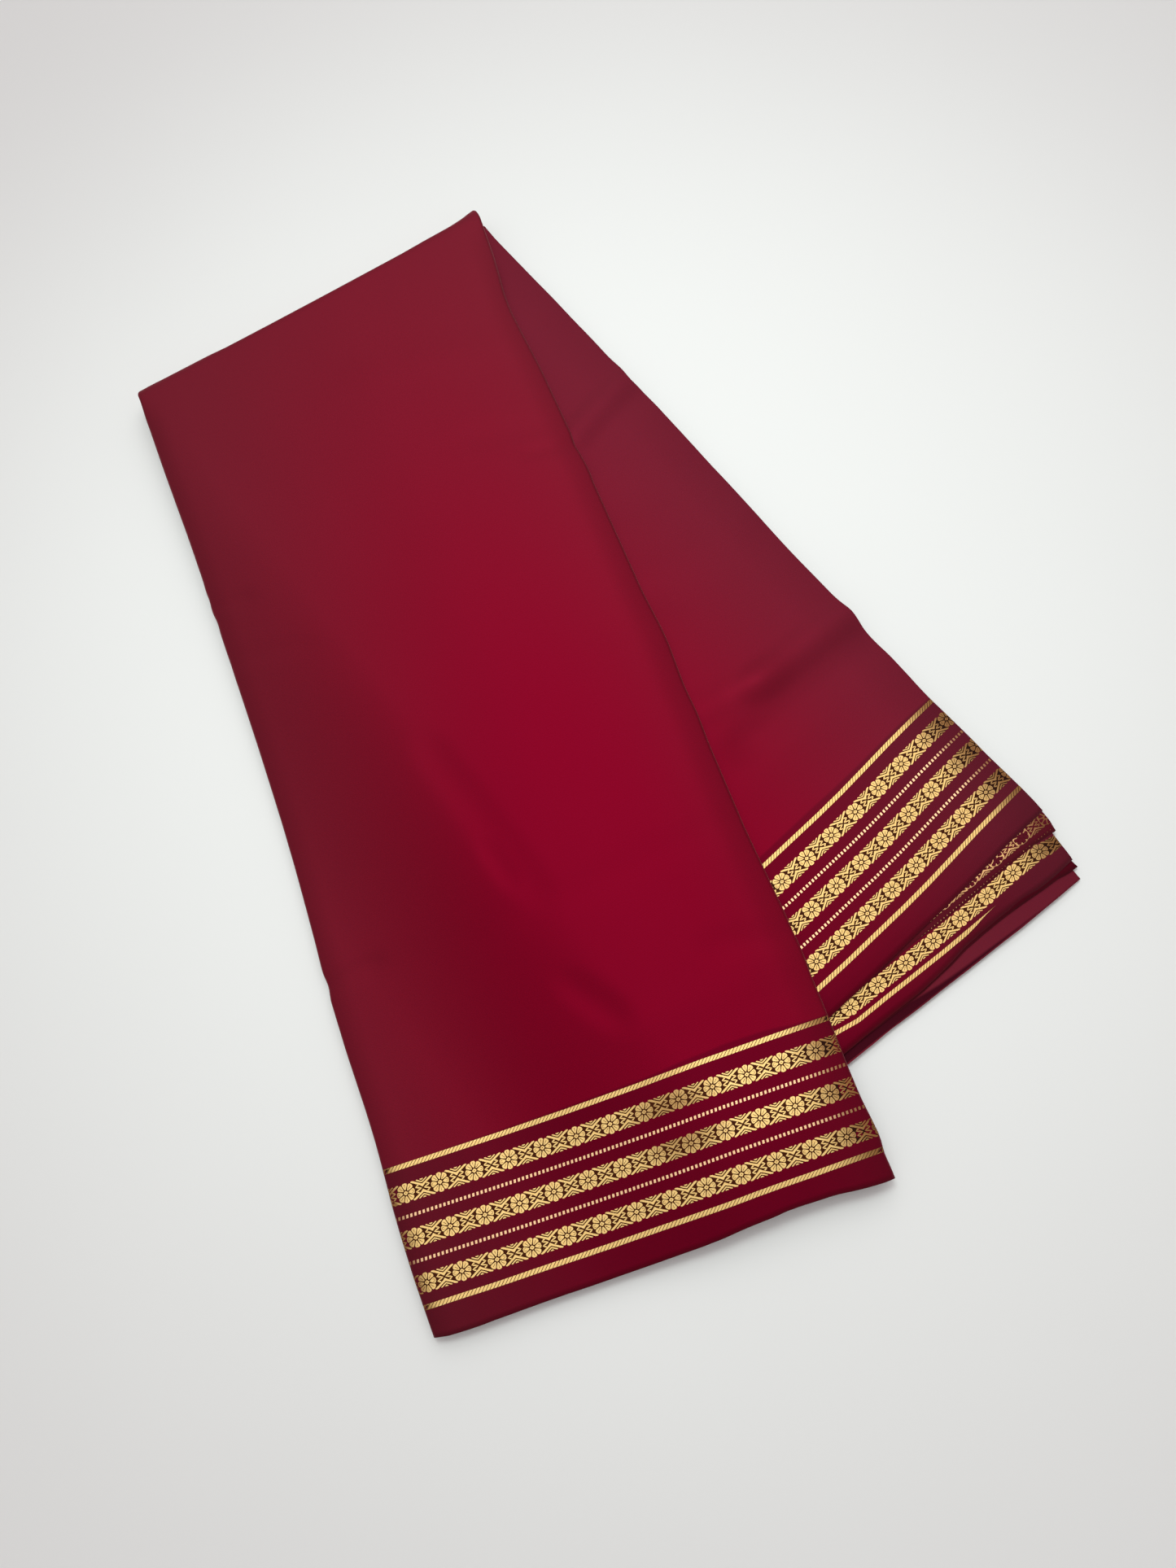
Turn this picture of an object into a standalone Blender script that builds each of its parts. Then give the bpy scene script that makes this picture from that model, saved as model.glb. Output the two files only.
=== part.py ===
"""A silk sari folded into a long flat strip, the strip folded once across its middle and laid down.

One uncut cloth makes the whole object. Its length is pleated into a strip as wide as STRIP_WIDTH,
and that strip is turned back over itself at a soft nose. The upper stretch lies on top and reaches
down past the under stretch, which is fanned out to the right and shows its plies at the lower right.

Lengths are millimetres until they become mesh points, which are metres. +Z is up from the table,
+X is to the right and +Y away from the viewer. The origin is under the middle of the outline box.

Names used below: s runs along a stretch away from the fold, t runs across the strip from its left
edge, and "outer" is the skin that faces up on the upper stretch, out on the nose and down below.
"""

import math
from collections import namedtuple

import bmesh
import bpy

MM = 0.001
COLLECTION = "folded_sari"
SHARP_ANGLE = math.radians(50.0)

# Strip and fold
STRIP_WIDTH = 242.0
FAN_ANGLE = 17.5
UPPER_HEADING = -68.4
UNDER_HEADING = UPPER_HEADING + FAN_ANGLE
FOLD_CORNER_X = -274.8
FOLD_CORNER_Y = 207.95

# Cloth and stack heights
PLY = 1.0
GAP = 0.3
UNDER_HEIGHT = 9.4
UPPER_HEIGHT = 9.3
SLIT_PLIES = 4
CORE_UNDER_TOP = UNDER_HEIGHT - SLIT_PLIES * (PLY + GAP)
UPPER_BASE = UNDER_HEIGHT + GAP
TOTAL_HEIGHT = UPPER_BASE + UPPER_HEIGHT

# Nose of the big fold, in the plane square to the fold line
NOSE_REACH = 8.5
SLIT_REACH = 2.0
NOSE_ANGLES = (252.0, 235.0, 210.0, 185.0, 162.0, 140.0, 115.0)
FACE_LAST_ANGLE = 235.0
NOSE_BOTTOM = 270.0
NOSE_TURN = 180.0

# How the upper stretch comes down off the under stretch onto the table
TOP_MARGIN = 3.0
TOP_RUN_SIDE = 58.0
TOP_RUN_END = 52.0
BASE_MARGIN = 20.0
BASE_RUN_SIDE = 40.0
BASE_RUN_END = 36.0

# Grid of every piece: rows from 0 to 1 run from the nose to the last level row, 2 is the end
COLUMNS = 12
UPPER_LAST_ROW = 560.0
UNDER_LAST_ROW = 500.0
UPPER_STATIONS = (0.0, 0.04, 0.09, 0.14, 0.20, 0.26, 0.32, 0.38, 0.44, 0.50, 0.55, 0.60, 0.65, 0.70,
                  0.75, 0.80, 0.85, 0.90, 0.95, 1.0, 1.7, 2.0)
UNDER_STATIONS = (0.0, 0.08, 0.17, 0.27, 0.335, 0.375, 0.415, 0.49, 0.58, 0.67, 0.755, 0.80, 0.845, 0.91,
                  1.0, 1.5, 2.0)

# Side roll of the visible upper ply: inset from the edge, and share of its drop
ROLL_REACH = 3.0
FaceRoll = namedtuple("FaceRoll", "inset drop")
FACE_ROLL = (FaceRoll(0.0, 1.0), FaceRoll(0.0, 0.7), FaceRoll(1.2, 0.3))
ROLL_SHARE = 0.18

# Layered rim of the hidden plies: share of the thickness from the outer skin, and inset
RimLevel = namedtuple("RimLevel", "share inset")
RIM = (
    RimLevel(0.00, 3.3), RimLevel(0.08, 2.1), RimLevel(0.15, 1.4), RimLevel(0.23, 1.4),
    RimLevel(0.29, 0.5), RimLevel(0.40, 0.4), RimLevel(0.44, 1.3),
    RimLevel(0.48, 0.6), RimLevel(0.59, 0.5), RimLevel(0.63, 1.5),
    RimLevel(0.67, 0.8), RimLevel(0.78, 0.7), RimLevel(0.82, 1.6),
    RimLevel(0.86, 0.9), RimLevel(0.95, 1.0), RimLevel(1.00, 2.2),
)
UPPER_END_RECESS = 1.5
CORE_END_TAPER = 8.0
CORE_TAPER_START = 400.0

# Where each stretch ends: s at the left edge and at the right edge
UPPER_END = (579.0, 591.0)
CORE_UNDER_END = (578.5, 584.5)

# The four plies on top of the hidden layers of the under stretch, from the top one down
UnderPly = namedtuple("UnderPly", "node end_left end_right inset_left inset_right")
UNDER_PLIES = (
    UnderPly("under_stretch", 562.8, 545.0, 1.0, 1.0),
    UnderPly("under_ply_2", 556.0, 557.2, 1.6, 3.2),
    UnderPly("under_ply_3", 577.0, 574.5, 2.0, 6.0),
    UnderPly("under_ply_4", 577.6, 580.5, 2.4, 7.5),
)

# Outline: how far each edge strays from its straight line, to the right where positive
EdgeStray = namedtuple("EdgeStray", "s left right")
UPPER_EDGES = (
    EdgeStray(-40.0, 0.0, 0.0), EdgeStray(0.0, 0.0, -2.0), EdgeStray(42.0, 1.0, -6.0),
    EdgeStray(90.0, 2.5, -3.2), EdgeStray(160.0, 4.0, -1.5), EdgeStray(300.0, 2.5, 0.0),
    EdgeStray(400.0, 1.0, -0.8), EdgeStray(450.0, 0.6, 0.8), EdgeStray(500.0, -1.0, 0.0),
    EdgeStray(600.0, 0.0, -1.0),
)
UNDER_EDGES = (
    EdgeStray(-40.0, 0.0, 0.0), EdgeStray(90.0, 0.0, 0.0), EdgeStray(180.0, 0.0, -1.5),
    EdgeStray(200.0, 0.0, -3.6), EdgeStray(320.0, 0.0, -4.6), EdgeStray(460.0, 0.0, -4.6),
    EdgeStray(500.0, 0.0, -2.6), EdgeStray(600.0, 0.0, -1.0),
)

# Largest soft creases: from (s, t) to (s, t), depth down, and half width
Crease = namedtuple("Crease", "s0 t0 s1 t1 depth width")
UPPER_CREASES = (
    Crease(300.0, 98.0, 385.0, 126.0, 0.8, 22.0),
    Crease(398.0, 122.0, 394.0, 235.0, 0.5, 20.0),
)
UNDER_CREASES = (
    Crease(404.0, 206.0, 407.0, 120.0, 1.2, 22.0),
    Crease(205.0, 240.0, 205.0, 190.0, 1.4, 20.0),
)
EDGE_DROP = 1.2
EDGE_DROP_REACH = 24.0
LEVEL_BY_FOLD = 20.0
LEVEL_RUN = 60.0

MaroonSilk = namedtuple("MaroonSilk", "node colour roughness")
FINISHES = (
    MaroonSilk("inner_plies", (0.110, 0.010, 0.020, 1.0), 0.62),
    MaroonSilk("upper_stretch", (0.225, 0.005, 0.018, 1.0), 0.50),
    MaroonSilk("under_stretch", (0.185, 0.007, 0.020, 1.0), 0.52),
    MaroonSilk("under_ply_2", (0.150, 0.010, 0.024, 1.0), 0.58),
    MaroonSilk("under_ply_3", (0.170, 0.008, 0.022, 1.0), 0.55),
    MaroonSilk("under_ply_4", (0.120, 0.009, 0.020, 1.0), 0.58),
)

Stretch = namedtuple("Stretch", "along across fold_slope last_row ends edges")
Station = namedtuple("Station", "kind value")


def heading(degrees):
    """Unit vector along a heading, and the one to its left."""
    angle = math.radians(degrees)
    return (math.cos(angle), math.sin(angle)), (-math.sin(angle), math.cos(angle))


def make_stretch(degrees, fold_sign, last_row, ends, edges):
    along, across = heading(degrees)
    slope = fold_sign * math.tan(math.radians(FAN_ANGLE / 2.0))
    return Stretch(along, across, slope, last_row, ends, edges)


UPPER = make_stretch(UPPER_HEADING, -1.0, UPPER_LAST_ROW, UPPER_END, UPPER_EDGES)
UNDER = make_stretch(UNDER_HEADING, 1.0, UNDER_LAST_ROW, CORE_UNDER_END, UNDER_EDGES)
FOLD_OUTWARD = tuple(-(a + b) for a, b in zip(UPPER.along, UNDER.along))
FOLD_LENGTH = math.hypot(*FOLD_OUTWARD)
FOLD_OUTWARD = tuple(value / FOLD_LENGTH for value in FOLD_OUTWARD)
NOSE_START = NOSE_REACH / math.cos(math.radians(FAN_ANGLE / 2.0))


def smooth(x):
    """Soft step from 0 to 1."""
    x = min(max(x, 0.0), 1.0)
    return x * x * (3.0 - 2.0 * x)


def mix(a, b, share):
    return a + (b - a) * share


def stray(edges, s, t):
    """Sideways shift of the cloth at (s, t), eased between the rows of an edge table."""
    row_a, row_b = edges[0], edges[-1]
    for first, second in zip(edges, edges[1:]):
        if first.s <= s <= second.s:
            row_a, row_b = first, second
            break
    share = smooth((s - row_a.s) / (row_b.s - row_a.s))
    left = mix(row_a.left, row_b.left, share)
    right = mix(row_a.right, row_b.right, share)
    return mix(left, right, t / STRIP_WIDTH)


def plan(stretch, s, t):
    """Point on the table, in millimetres, at (s, t) of a stretch."""
    t = t + stray(stretch.edges, s, t)
    x = FOLD_CORNER_X + stretch.along[0] * s + stretch.across[0] * t
    y = FOLD_CORNER_Y + stretch.along[1] * s + stretch.across[1] * t
    return x, y


def crease_depth(creases, s, t):
    """Depth of the soft creases at (s, t)."""
    depth = 0.0
    for crease in creases:
        run_s, run_t = crease.s1 - crease.s0, crease.t1 - crease.t0
        length = math.hypot(run_s, run_t)
        along = ((s - crease.s0) * run_s + (t - crease.t0) * run_t) / length
        aside = abs((s - crease.s0) * run_t - (t - crease.t0) * run_s) / length
        beyond = max(0.0, -along, along - length)
        depth += crease.depth * smooth(1.0 - math.hypot(aside, beyond) / crease.width)
    return depth


def lift(x, y, margin, run_side, run_end):
    """Share of its full lift that the upper stretch has over the table point (x, y)."""
    dx, dy = x - FOLD_CORNER_X, y - FOLD_CORNER_Y
    s = dx * UNDER.along[0] + dy * UNDER.along[1]
    t = dx * UNDER.across[0] + dy * UNDER.across[1]
    end = mix(CORE_UNDER_END[0], CORE_UNDER_END[1], t / STRIP_WIDTH)
    off_side = max(0.0, -t - margin) / run_side
    off_end = max(0.0, s - end - margin) / run_end
    return smooth(1.0 - math.hypot(off_side, off_end))


def under_relief(s, t):
    """How far the plies of the under stretch lie below level at (s, t)."""
    near_edge = smooth(1.0 - (STRIP_WIDTH - t) / EDGE_DROP_REACH)
    away_from_fold = smooth((s - LEVEL_BY_FOLD) / LEVEL_RUN)
    return away_from_fold * (EDGE_DROP * near_edge + crease_depth(UNDER_CREASES, s, t))


def row_s(stretch, value, t, ends):
    """s of a row at t: from the nose up to the last level row, and from there to the end."""
    if value <= 1.0:
        return mix(stretch.fold_slope * t + NOSE_START, stretch.last_row, value)
    return mix(stretch.last_row, mix(ends[0], ends[1], t / STRIP_WIDTH), value - 1.0)


def skins(station, t, back=0.0):
    """Outer point and inner point of the folded bundle at a station and t."""
    if station.kind == "upper":
        s = row_s(UPPER, station.value, t, UPPER_END) - back
        x, y = plan(UPPER, s, t)
        rise = UPPER_BASE * lift(x, y, TOP_MARGIN, TOP_RUN_SIDE, TOP_RUN_END)
        top = UPPER_HEIGHT + rise - crease_depth(UPPER_CREASES, s, t)
        base = UPPER_BASE * lift(x, y, BASE_MARGIN, BASE_RUN_SIDE, BASE_RUN_END)
        return (x, y, top), (x, y, base)
    if station.kind == "under":
        s = row_s(UNDER, station.value, t, CORE_UNDER_END) - back
        taper = CORE_END_TAPER * smooth((s - CORE_TAPER_START) / (CORE_UNDER_END[1] - CORE_TAPER_START))
        x, y = plan(UNDER, s, t - taper * t / STRIP_WIDTH)
        return (x, y, 0.0), (x, y, CORE_UNDER_TOP - under_relief(s, t))
    angle = math.radians(station.value)
    around = (NOSE_BOTTOM - station.value) / NOSE_TURN
    low = plan(UNDER, row_s(UNDER, 0.0, t, CORE_UNDER_END), t)
    high = plan(UPPER, row_s(UPPER, 0.0, t, UPPER_END), t)
    centre = tuple(mix(a, b, around) for a, b in zip(low, high))
    outer_out = -NOSE_REACH * math.cos(angle)
    inner_out = -SLIT_REACH * math.cos(angle)
    slit_middle = (CORE_UNDER_TOP + UPPER_BASE) / 2.0
    slit_half = (UPPER_BASE - CORE_UNDER_TOP) / 2.0
    outer_z = TOTAL_HEIGHT / 2.0 * (1.0 + math.sin(angle))
    inner_z = slit_middle + slit_half * math.sin(angle)
    outer = (centre[0] + FOLD_OUTWARD[0] * outer_out, centre[1] + FOLD_OUTWARD[1] * outer_out, outer_z)
    inner = (centre[0] + FOLD_OUTWARD[0] * inner_out, centre[1] + FOLD_OUTWARD[1] * inner_out, inner_z)
    return outer, inner


def cover(station):
    """Thickness that the visible ply and its gap take off the outer skin at a station."""
    full = PLY + GAP
    if station.kind == "upper":
        return full
    if station.kind == "under":
        return 0.0
    if station.value <= FACE_LAST_ANGLE:
        return full
    return full * (NOSE_BOTTOM - station.value) / (NOSE_BOTTOM - FACE_LAST_ANGLE)


def towards(a, b, distance):
    """Point at a distance from a on the way to b."""
    length = math.dist(a, b)
    return tuple(mix(p, q, distance / length) for p, q in zip(a, b))


def core_point(station, t, share, back):
    outer, inner = skins(station, t, back)
    start = towards(outer, inner, cover(station))
    return tuple(mix(p, q, share) for p, q in zip(start, inner))


def face_point(station, t, drop_share):
    """Point on the outside of the visible upper ply, rolled down by a share of its drop."""
    outer, inner = skins(station, t)
    full = cover(station) + ROLL_SHARE * (math.dist(outer, inner) - cover(station))
    return towards(outer, inner, full * drop_share)


def all_stations():
    """Stations of the whole bundle, from the end of the under stretch to that of the upper one."""
    under = [Station("under", value) for value in reversed(UNDER_STATIONS)]
    nose = [Station("nose", value) for value in NOSE_ANGLES]
    upper = [Station("upper", value) for value in UPPER_STATIONS]
    return under + nose + upper


def column_places(inset):
    """Even t places between an inset at each edge."""
    step = (STRIP_WIDTH - 2.0 * inset) / COLUMNS
    return [inset + step * index for index in range(COLUMNS + 1)]


def cell(a, b, c, d):
    """Two triangles of a grid cell, always split along the same diagonal."""
    return [(a, b, c), (a, c, d)]


def new_object(name, points, faces, collection):
    """Mesh object from millimetre points, with its faces turned outwards or upwards alike."""
    mesh = bpy.data.meshes.new(name)
    mesh.from_pydata([tuple(value * MM for value in point) for point in points], [], faces)
    work = bmesh.new()
    work.from_mesh(mesh)
    bmesh.ops.recalc_face_normals(work, faces=work.faces)
    work.to_mesh(mesh)
    work.free()
    mesh.shade_smooth()
    mesh.set_sharp_from_angle(angle=SHARP_ANGLE)
    made = bpy.data.objects.new(name, mesh)
    collection.objects.link(made)
    return made


def build_sheet(name, rows, collection):
    """Cloth wall from the rows of its upper or outer side, one ply thick on the inner side."""
    width = len(rows[0])
    points = [point for row in rows for point in row]
    faces = []
    for i in range(len(rows) - 1):
        for j in range(width - 1):
            a = i * width + j
            faces += cell(a, a + 1, a + width + 1, a + width)
    made = new_object(name, points, faces, collection)
    middle = made.data.polygons[len(faces) - width]
    if middle.normal.z < 0.0:
        made.data.flip_normals()
    wall = made.modifiers.new("ply", "SOLIDIFY")
    wall.thickness = PLY * MM
    wall.offset = -1.0
    wall.use_even_offset = True
    return made


def build_upper_face(collection):
    """The ply on top of the upper stretch: over the nose, down both edges, out to its selvedge."""
    stations = [Station("nose", angle) for angle in NOSE_ANGLES if angle <= FACE_LAST_ANGLE]
    stations += [Station("upper", value) for value in UPPER_STATIONS]
    rows = []
    for station in stations:
        left = [face_point(station, roll.inset, roll.drop) for roll in FACE_ROLL]
        flat = [face_point(station, t, 0.0) for t in column_places(ROLL_REACH)]
        right = [face_point(station, STRIP_WIDTH - roll.inset, roll.drop) for roll in reversed(FACE_ROLL)]
        rows.append(left + flat + right)
    return build_sheet("upper_stretch", rows, collection)


def build_under_ply(ply, order, collection):
    """One of the plies seen at the lower right, under all of the upper stretch too."""
    level = UNDER_HEIGHT - order * (PLY + GAP)
    places = column_places(RIM[0].inset)
    places[0] = ply.inset_left
    places[-1] = STRIP_WIDTH - ply.inset_right
    rows = []
    for value in reversed(UNDER_STATIONS):
        row = []
        for t in places:
            s = row_s(UNDER, value, t, (ply.end_left, ply.end_right))
            x, y = plan(UNDER, s, t)
            row.append((x, y, level - under_relief(s, t)))
        rows.append(row)
    return build_sheet(ply.node, rows, collection)


def rim_nodes(last):
    """Grid nodes around the edge of the folded bundle: row, column, side sign, end flag."""
    nodes = [(0, j, 0, True) for j in range(COLUMNS + 1)]
    nodes += [(i, COLUMNS, -1, False) for i in range(1, last)]
    nodes += [(last, j, 0, True) for j in range(COLUMNS, -1, -1)]
    nodes += [(i, 0, 1, False) for i in range(last - 1, 0, -1)]
    return nodes


def rim_point(stations, places, node, level):
    row, column, side, at_end = node
    t = places[column]
    if column == 0:
        t = level.inset
    elif column == COLUMNS:
        t = STRIP_WIDTH - level.inset
    back = 0.0
    if at_end:
        back = level.inset
        if row > 0:
            back += UPPER_END_RECESS
    return core_point(stations[row], t, level.share, back)


def build_core(collection):
    """Hidden plies of both stretches and of the nose as one solid, layered all round its edge."""
    stations = all_stations()
    last = len(stations) - 1
    places = column_places(RIM[0].inset)
    nodes = rim_nodes(last)
    points = []
    skin_index = {}
    rim_index = {}
    for depth, level in ((0, RIM[0]), (len(RIM) - 1, RIM[-1])):
        for i in range(last + 1):
            for j in range(COLUMNS + 1):
                skin_index[depth, i, j] = len(points)
                side = 1 if j == 0 else -1 if j == COLUMNS else 0
                node = (i, j, side, i in (0, last))
                points.append(rim_point(stations, places, node, level))
    for order, node in enumerate(nodes):
        for depth, level in enumerate(RIM):
            key = (depth, node[0], node[1])
            if key in skin_index:
                rim_index[order, depth] = skin_index[key]
            else:
                rim_index[order, depth] = len(points)
                points.append(rim_point(stations, places, node, level))
    faces = []
    for depth in (0, len(RIM) - 1):
        for i in range(last):
            for j in range(COLUMNS):
                corner = [skin_index[depth, i + di, j + dj] for di, dj in ((0, 0), (0, 1), (1, 1), (1, 0))]
                faces += cell(*corner)
    for order in range(len(nodes)):
        after = (order + 1) % len(nodes)
        for depth in range(len(RIM) - 1):
            faces += cell(rim_index[order, depth], rim_index[after, depth],
                          rim_index[after, depth + 1], rim_index[order, depth + 1])
    return new_object("inner_plies", points, faces, collection)


def dress(made):
    """Give a piece its own maroon silk."""
    finish = next(row for row in FINISHES if row.node == made.name)
    material = bpy.data.materials.new(finish.node + "_silk")
    material.use_nodes = True
    shader = material.node_tree.nodes["Principled BSDF"]
    shader.inputs["Base Color"].default_value = finish.colour
    shader.inputs["Roughness"].default_value = finish.roughness
    shader.inputs["Metallic"].default_value = 0.0
    made.data.materials.append(material)


def main():
    for old in list(bpy.data.objects):
        bpy.data.objects.remove(old, do_unlink=True)
    collection = bpy.data.collections.new(COLLECTION)
    bpy.context.scene.collection.children.link(collection)
    pieces = [build_core(collection), build_upper_face(collection)]
    for order, ply in enumerate(UNDER_PLIES):
        pieces.append(build_under_ply(ply, order, collection))
    for piece in pieces:
        dress(piece)


main()
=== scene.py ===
"""Looks of a folded maroon silk sari with a woven gold border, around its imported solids.

The cloth is laid on the same folded form as the solids. Lengths below are millimetres until they
become mesh points. s runs along a stretch away from the big fold, and w across the strip from its
left edge. In a border, u runs along the selvedge, y away from it and h up from the cloth.
"""

import math
from collections import namedtuple

import bmesh
import bpy
import numpy as np
from mathutils import Matrix, Vector


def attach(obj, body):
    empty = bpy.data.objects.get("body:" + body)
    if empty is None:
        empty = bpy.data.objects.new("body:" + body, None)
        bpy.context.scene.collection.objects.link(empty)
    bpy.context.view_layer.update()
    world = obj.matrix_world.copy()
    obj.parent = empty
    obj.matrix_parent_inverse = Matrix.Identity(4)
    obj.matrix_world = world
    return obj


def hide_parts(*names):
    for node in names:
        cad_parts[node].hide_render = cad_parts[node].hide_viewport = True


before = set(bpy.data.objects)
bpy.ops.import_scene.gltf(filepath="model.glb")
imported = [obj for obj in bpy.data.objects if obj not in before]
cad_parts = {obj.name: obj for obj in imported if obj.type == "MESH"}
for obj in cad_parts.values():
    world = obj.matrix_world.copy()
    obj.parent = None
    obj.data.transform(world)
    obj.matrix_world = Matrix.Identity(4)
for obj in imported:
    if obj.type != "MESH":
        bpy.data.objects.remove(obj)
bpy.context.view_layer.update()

MM = 0.001

# Form of the folded strip, as in the solids
STRIP_WIDTH = 242.0
FAN_ANGLE = 17.5
UPPER_HEADING = -68.4
FOLD_CORNER = (-274.8, 207.95)

# Heights of the stack, and the four plies that show one after the other at its end
GAP = 0.3
PLY_STEP = 1.0 + GAP
UNDER_HEIGHT = 9.4
UPPER_HEIGHT = 9.3
UPPER_BASE = UNDER_HEIGHT + GAP
CORE_UNDER_TOP = UNDER_HEIGHT - 4 * PLY_STEP
TOTAL_HEIGHT = UPPER_BASE + UPPER_HEIGHT

# Nose of the big fold: reach of its outside and of its inside, and the bend that the cloth is laid on
NOSE_REACH = 8.5
SLIT_REACH = 2.0
NOSE_BEND = 9.0

# End of the hidden layers of the under stretch at the left and the right edge, and how far their right
# edge draws in from where
CORE_UNDER_END = (578.5, 584.5)
CORE_TAPER = (8.0, 400.0)

# How the upper stretch comes down off the under one: margin, run at the side, run at the end
TOP_SLOPE = (-6.0, 104.0, 112.0)
BASE_SLOPE = (20.0, 40.0, 36.0)

# How far the left and the right edge stray to the right: s, shift
UPPER_EDGES = (
    ((-40.0, 0.0), (0.0, 1.5), (12.0, 2.0), (24.0, 1.6), (42.0, 1.9), (60.0, 2.2), (90.0, 3.0),
     (105.0, 3.45), (121.0, 3.7), (150.0, 3.9), (170.0, 3.9), (218.0, 4.05), (250.0, 4.0), (278.0, 3.75),
     (300.0, 3.5), (326.0, 2.75), (349.0, 1.8), (368.0, 0.95), (386.0, -0.15), (403.0, -0.55),
     (430.0, -0.9), (464.0, -0.45), (480.0, -0.65), (497.0, -1.45), (513.0, -2.4), (529.0, -2.8),
     (549.0, -2.9), (568.0, -2.45), (600.0, -1.5)),
    ((-40.0, 0.0), (0.0, -2.0), (15.0, -3.6), (30.0, -5.5), (42.0, -6.0), (55.0, -5.4), (90.0, -3.2),
     (160.0, -1.5), (230.0, -0.75), (300.0, 0.0), (350.0, -0.4), (400.0, -0.8), (425.0, 0.0), (450.0, 0.8),
     (500.0, 0.0), (515.0, -0.4), (533.0, -1.1), (549.0, -1.2), (560.0, -0.4), (570.0, 0.2), (577.0, -1.2),
     (584.0, -0.8), (600.0, -1.0)),
)
UNDER_EDGES = (
    ((-40.0, 0.0), (600.0, 0.0)),
    ((-40.0, 0.0), (20.0, -0.5), (58.0, -1.7), (76.0, -1.35), (122.0, -1.15), (157.0, -1.25),
     (174.0, -1.75), (184.0, -1.1), (190.0, -1.9), (195.5, -2.6), (201.0, -1.4), (206.0, -1.25),
     (260.0, -1.5), (285.0, -1.8), (300.0, -2.1), (321.0, -2.7), (350.0, -3.35), (389.0, -3.5),
     (393.5, -2.5), (398.5, -2.8), (408.0, -3.75), (426.0, -3.25), (458.0, -3.75), (480.0, -2.9),
     (490.0, -2.5), (503.0, -2.4), (520.0, -1.5), (530.0, -0.95), (545.0, -0.75), (560.0, -0.4),
     (600.0, 0.2)),
)

# Small kinks in the edges: side (0 left, 1 right), s, half width, shift to the right
UPPER_KINKS = ((1, 146.0, 9.0, -0.8), (1, 165.0, 10.0, 0.5), (1, 279.0, 34.0, 1.4), (1, 330.0, 20.0, 0.6),
               (0, 147.0, 7.0, -0.3), (0, 160.0, 7.0, -0.6), (0, 170.0, 7.0, 0.4), (0, 394.0, 9.0, 0.8),
               (1, 470.0, 16.0, 0.5))

# How far the big fold is pulled out, or sags in between its corners: w, distance
FOLD_PULL = ((0.0, -0.3), (8.0, 0.0), (20.0, -0.45), (50.0, -1.1), (63.0, -2.1), (75.0, -2.45), (100.0, -3.0),
             (135.0, -3.2), (160.0, -3.05), (185.0, -2.7), (205.0, -1.75), (222.0, -1.35), (231.0, -0.1),
             (238.0, 1.7), (242.0, 2.1))

# Soft creases: from (s, w) to (s, w), depth down (below 0 is a ridge), and half width
UPPER_CREASES = (
    (300.0, 96.0, 384.0, 123.0, 0.55, 15.0), (398.0, 120.0, 393.0, 236.0, 0.2, 14.0),
    (448.0, 128.0, 462.0, 137.0, 0.8, 13.0), (362.0, 108.0, 376.0, 112.0, 0.35, 9.0),
    (398.0, 30.0, 404.0, 118.0, 0.12, 14.0), (52.0, 150.0, 66.0, 232.0, -0.3, 20.0),
    (196.0, 2.0, 204.0, 44.0, 0.3, 10.0), (120.0, 190.0, 132.0, 240.0, 0.35, 14.0),
    (142.0, 216.0, 147.0, 242.0, 0.5, 7.0), (452.0, 206.0, 460.0, 240.0, 0.4, 12.0),
    (478.0, 150.0, 470.0, 236.0, -0.2, 16.0), (160.0, 0.0, 163.0, 22.0, 0.5, 7.0),
    (394.0, 0.0, 392.0, 26.0, 0.6, 8.0), (279.0, 206.0, 283.0, 240.0, -0.3, 16.0),
)
UNDER_CREASES = (
    (393.0, 242.0, 392.5, 176.0, -2.6, 15.0), (392.5, 176.0, 386.0, 140.0, -1.2, 15.0),
    (415.0, 238.0, 416.0, 150.0, 1.5, 17.0), (193.0, 242.0, 203.0, 192.0, -1.9, 13.0),
    (208.0, 238.0, 221.0, 188.0, 0.9, 13.0), (312.0, 228.0, 304.0, 172.0, -0.4, 15.0),
    (334.0, 226.0, 326.0, 172.0, 0.35, 15.0), (120.0, 236.0, 150.0, 200.0, -0.4, 18.0),
    (456.0, 232.0, 452.0, 140.0, 0.3, 20.0), (268.0, 236.0, 262.0, 190.0, 0.35, 18.0),
    (200.0, 200.0, 205.0, 242.0, -1.7, 72.0), (383.0, 160.0, 384.0, 242.0, -1.4, 50.0),
)

# Droop towards the long edges: depth and width, at the left and the right edge of the upper stretch,
# and at the right edge of the under one, which bends softly over a wider strip as well
UPPER_DROOP = ((1.7, 12.0), (2.2, 17.0))
UNDER_DROOP = (1.1, 13.0)
UNDER_SOFT_BEND = (1.2, 24.0)

# Where the creases fade in: the run from the nose, and the s and the run on the under stretch
UPPER_RELIEF_RUN = 26.0
UNDER_RELIEF_START = (20.0, 60.0)

# Faint swell of the cloth: depth, size
UPPER_SWELL = (0.16, 95.0)
UNDER_SWELL = (0.12, 80.0)

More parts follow.
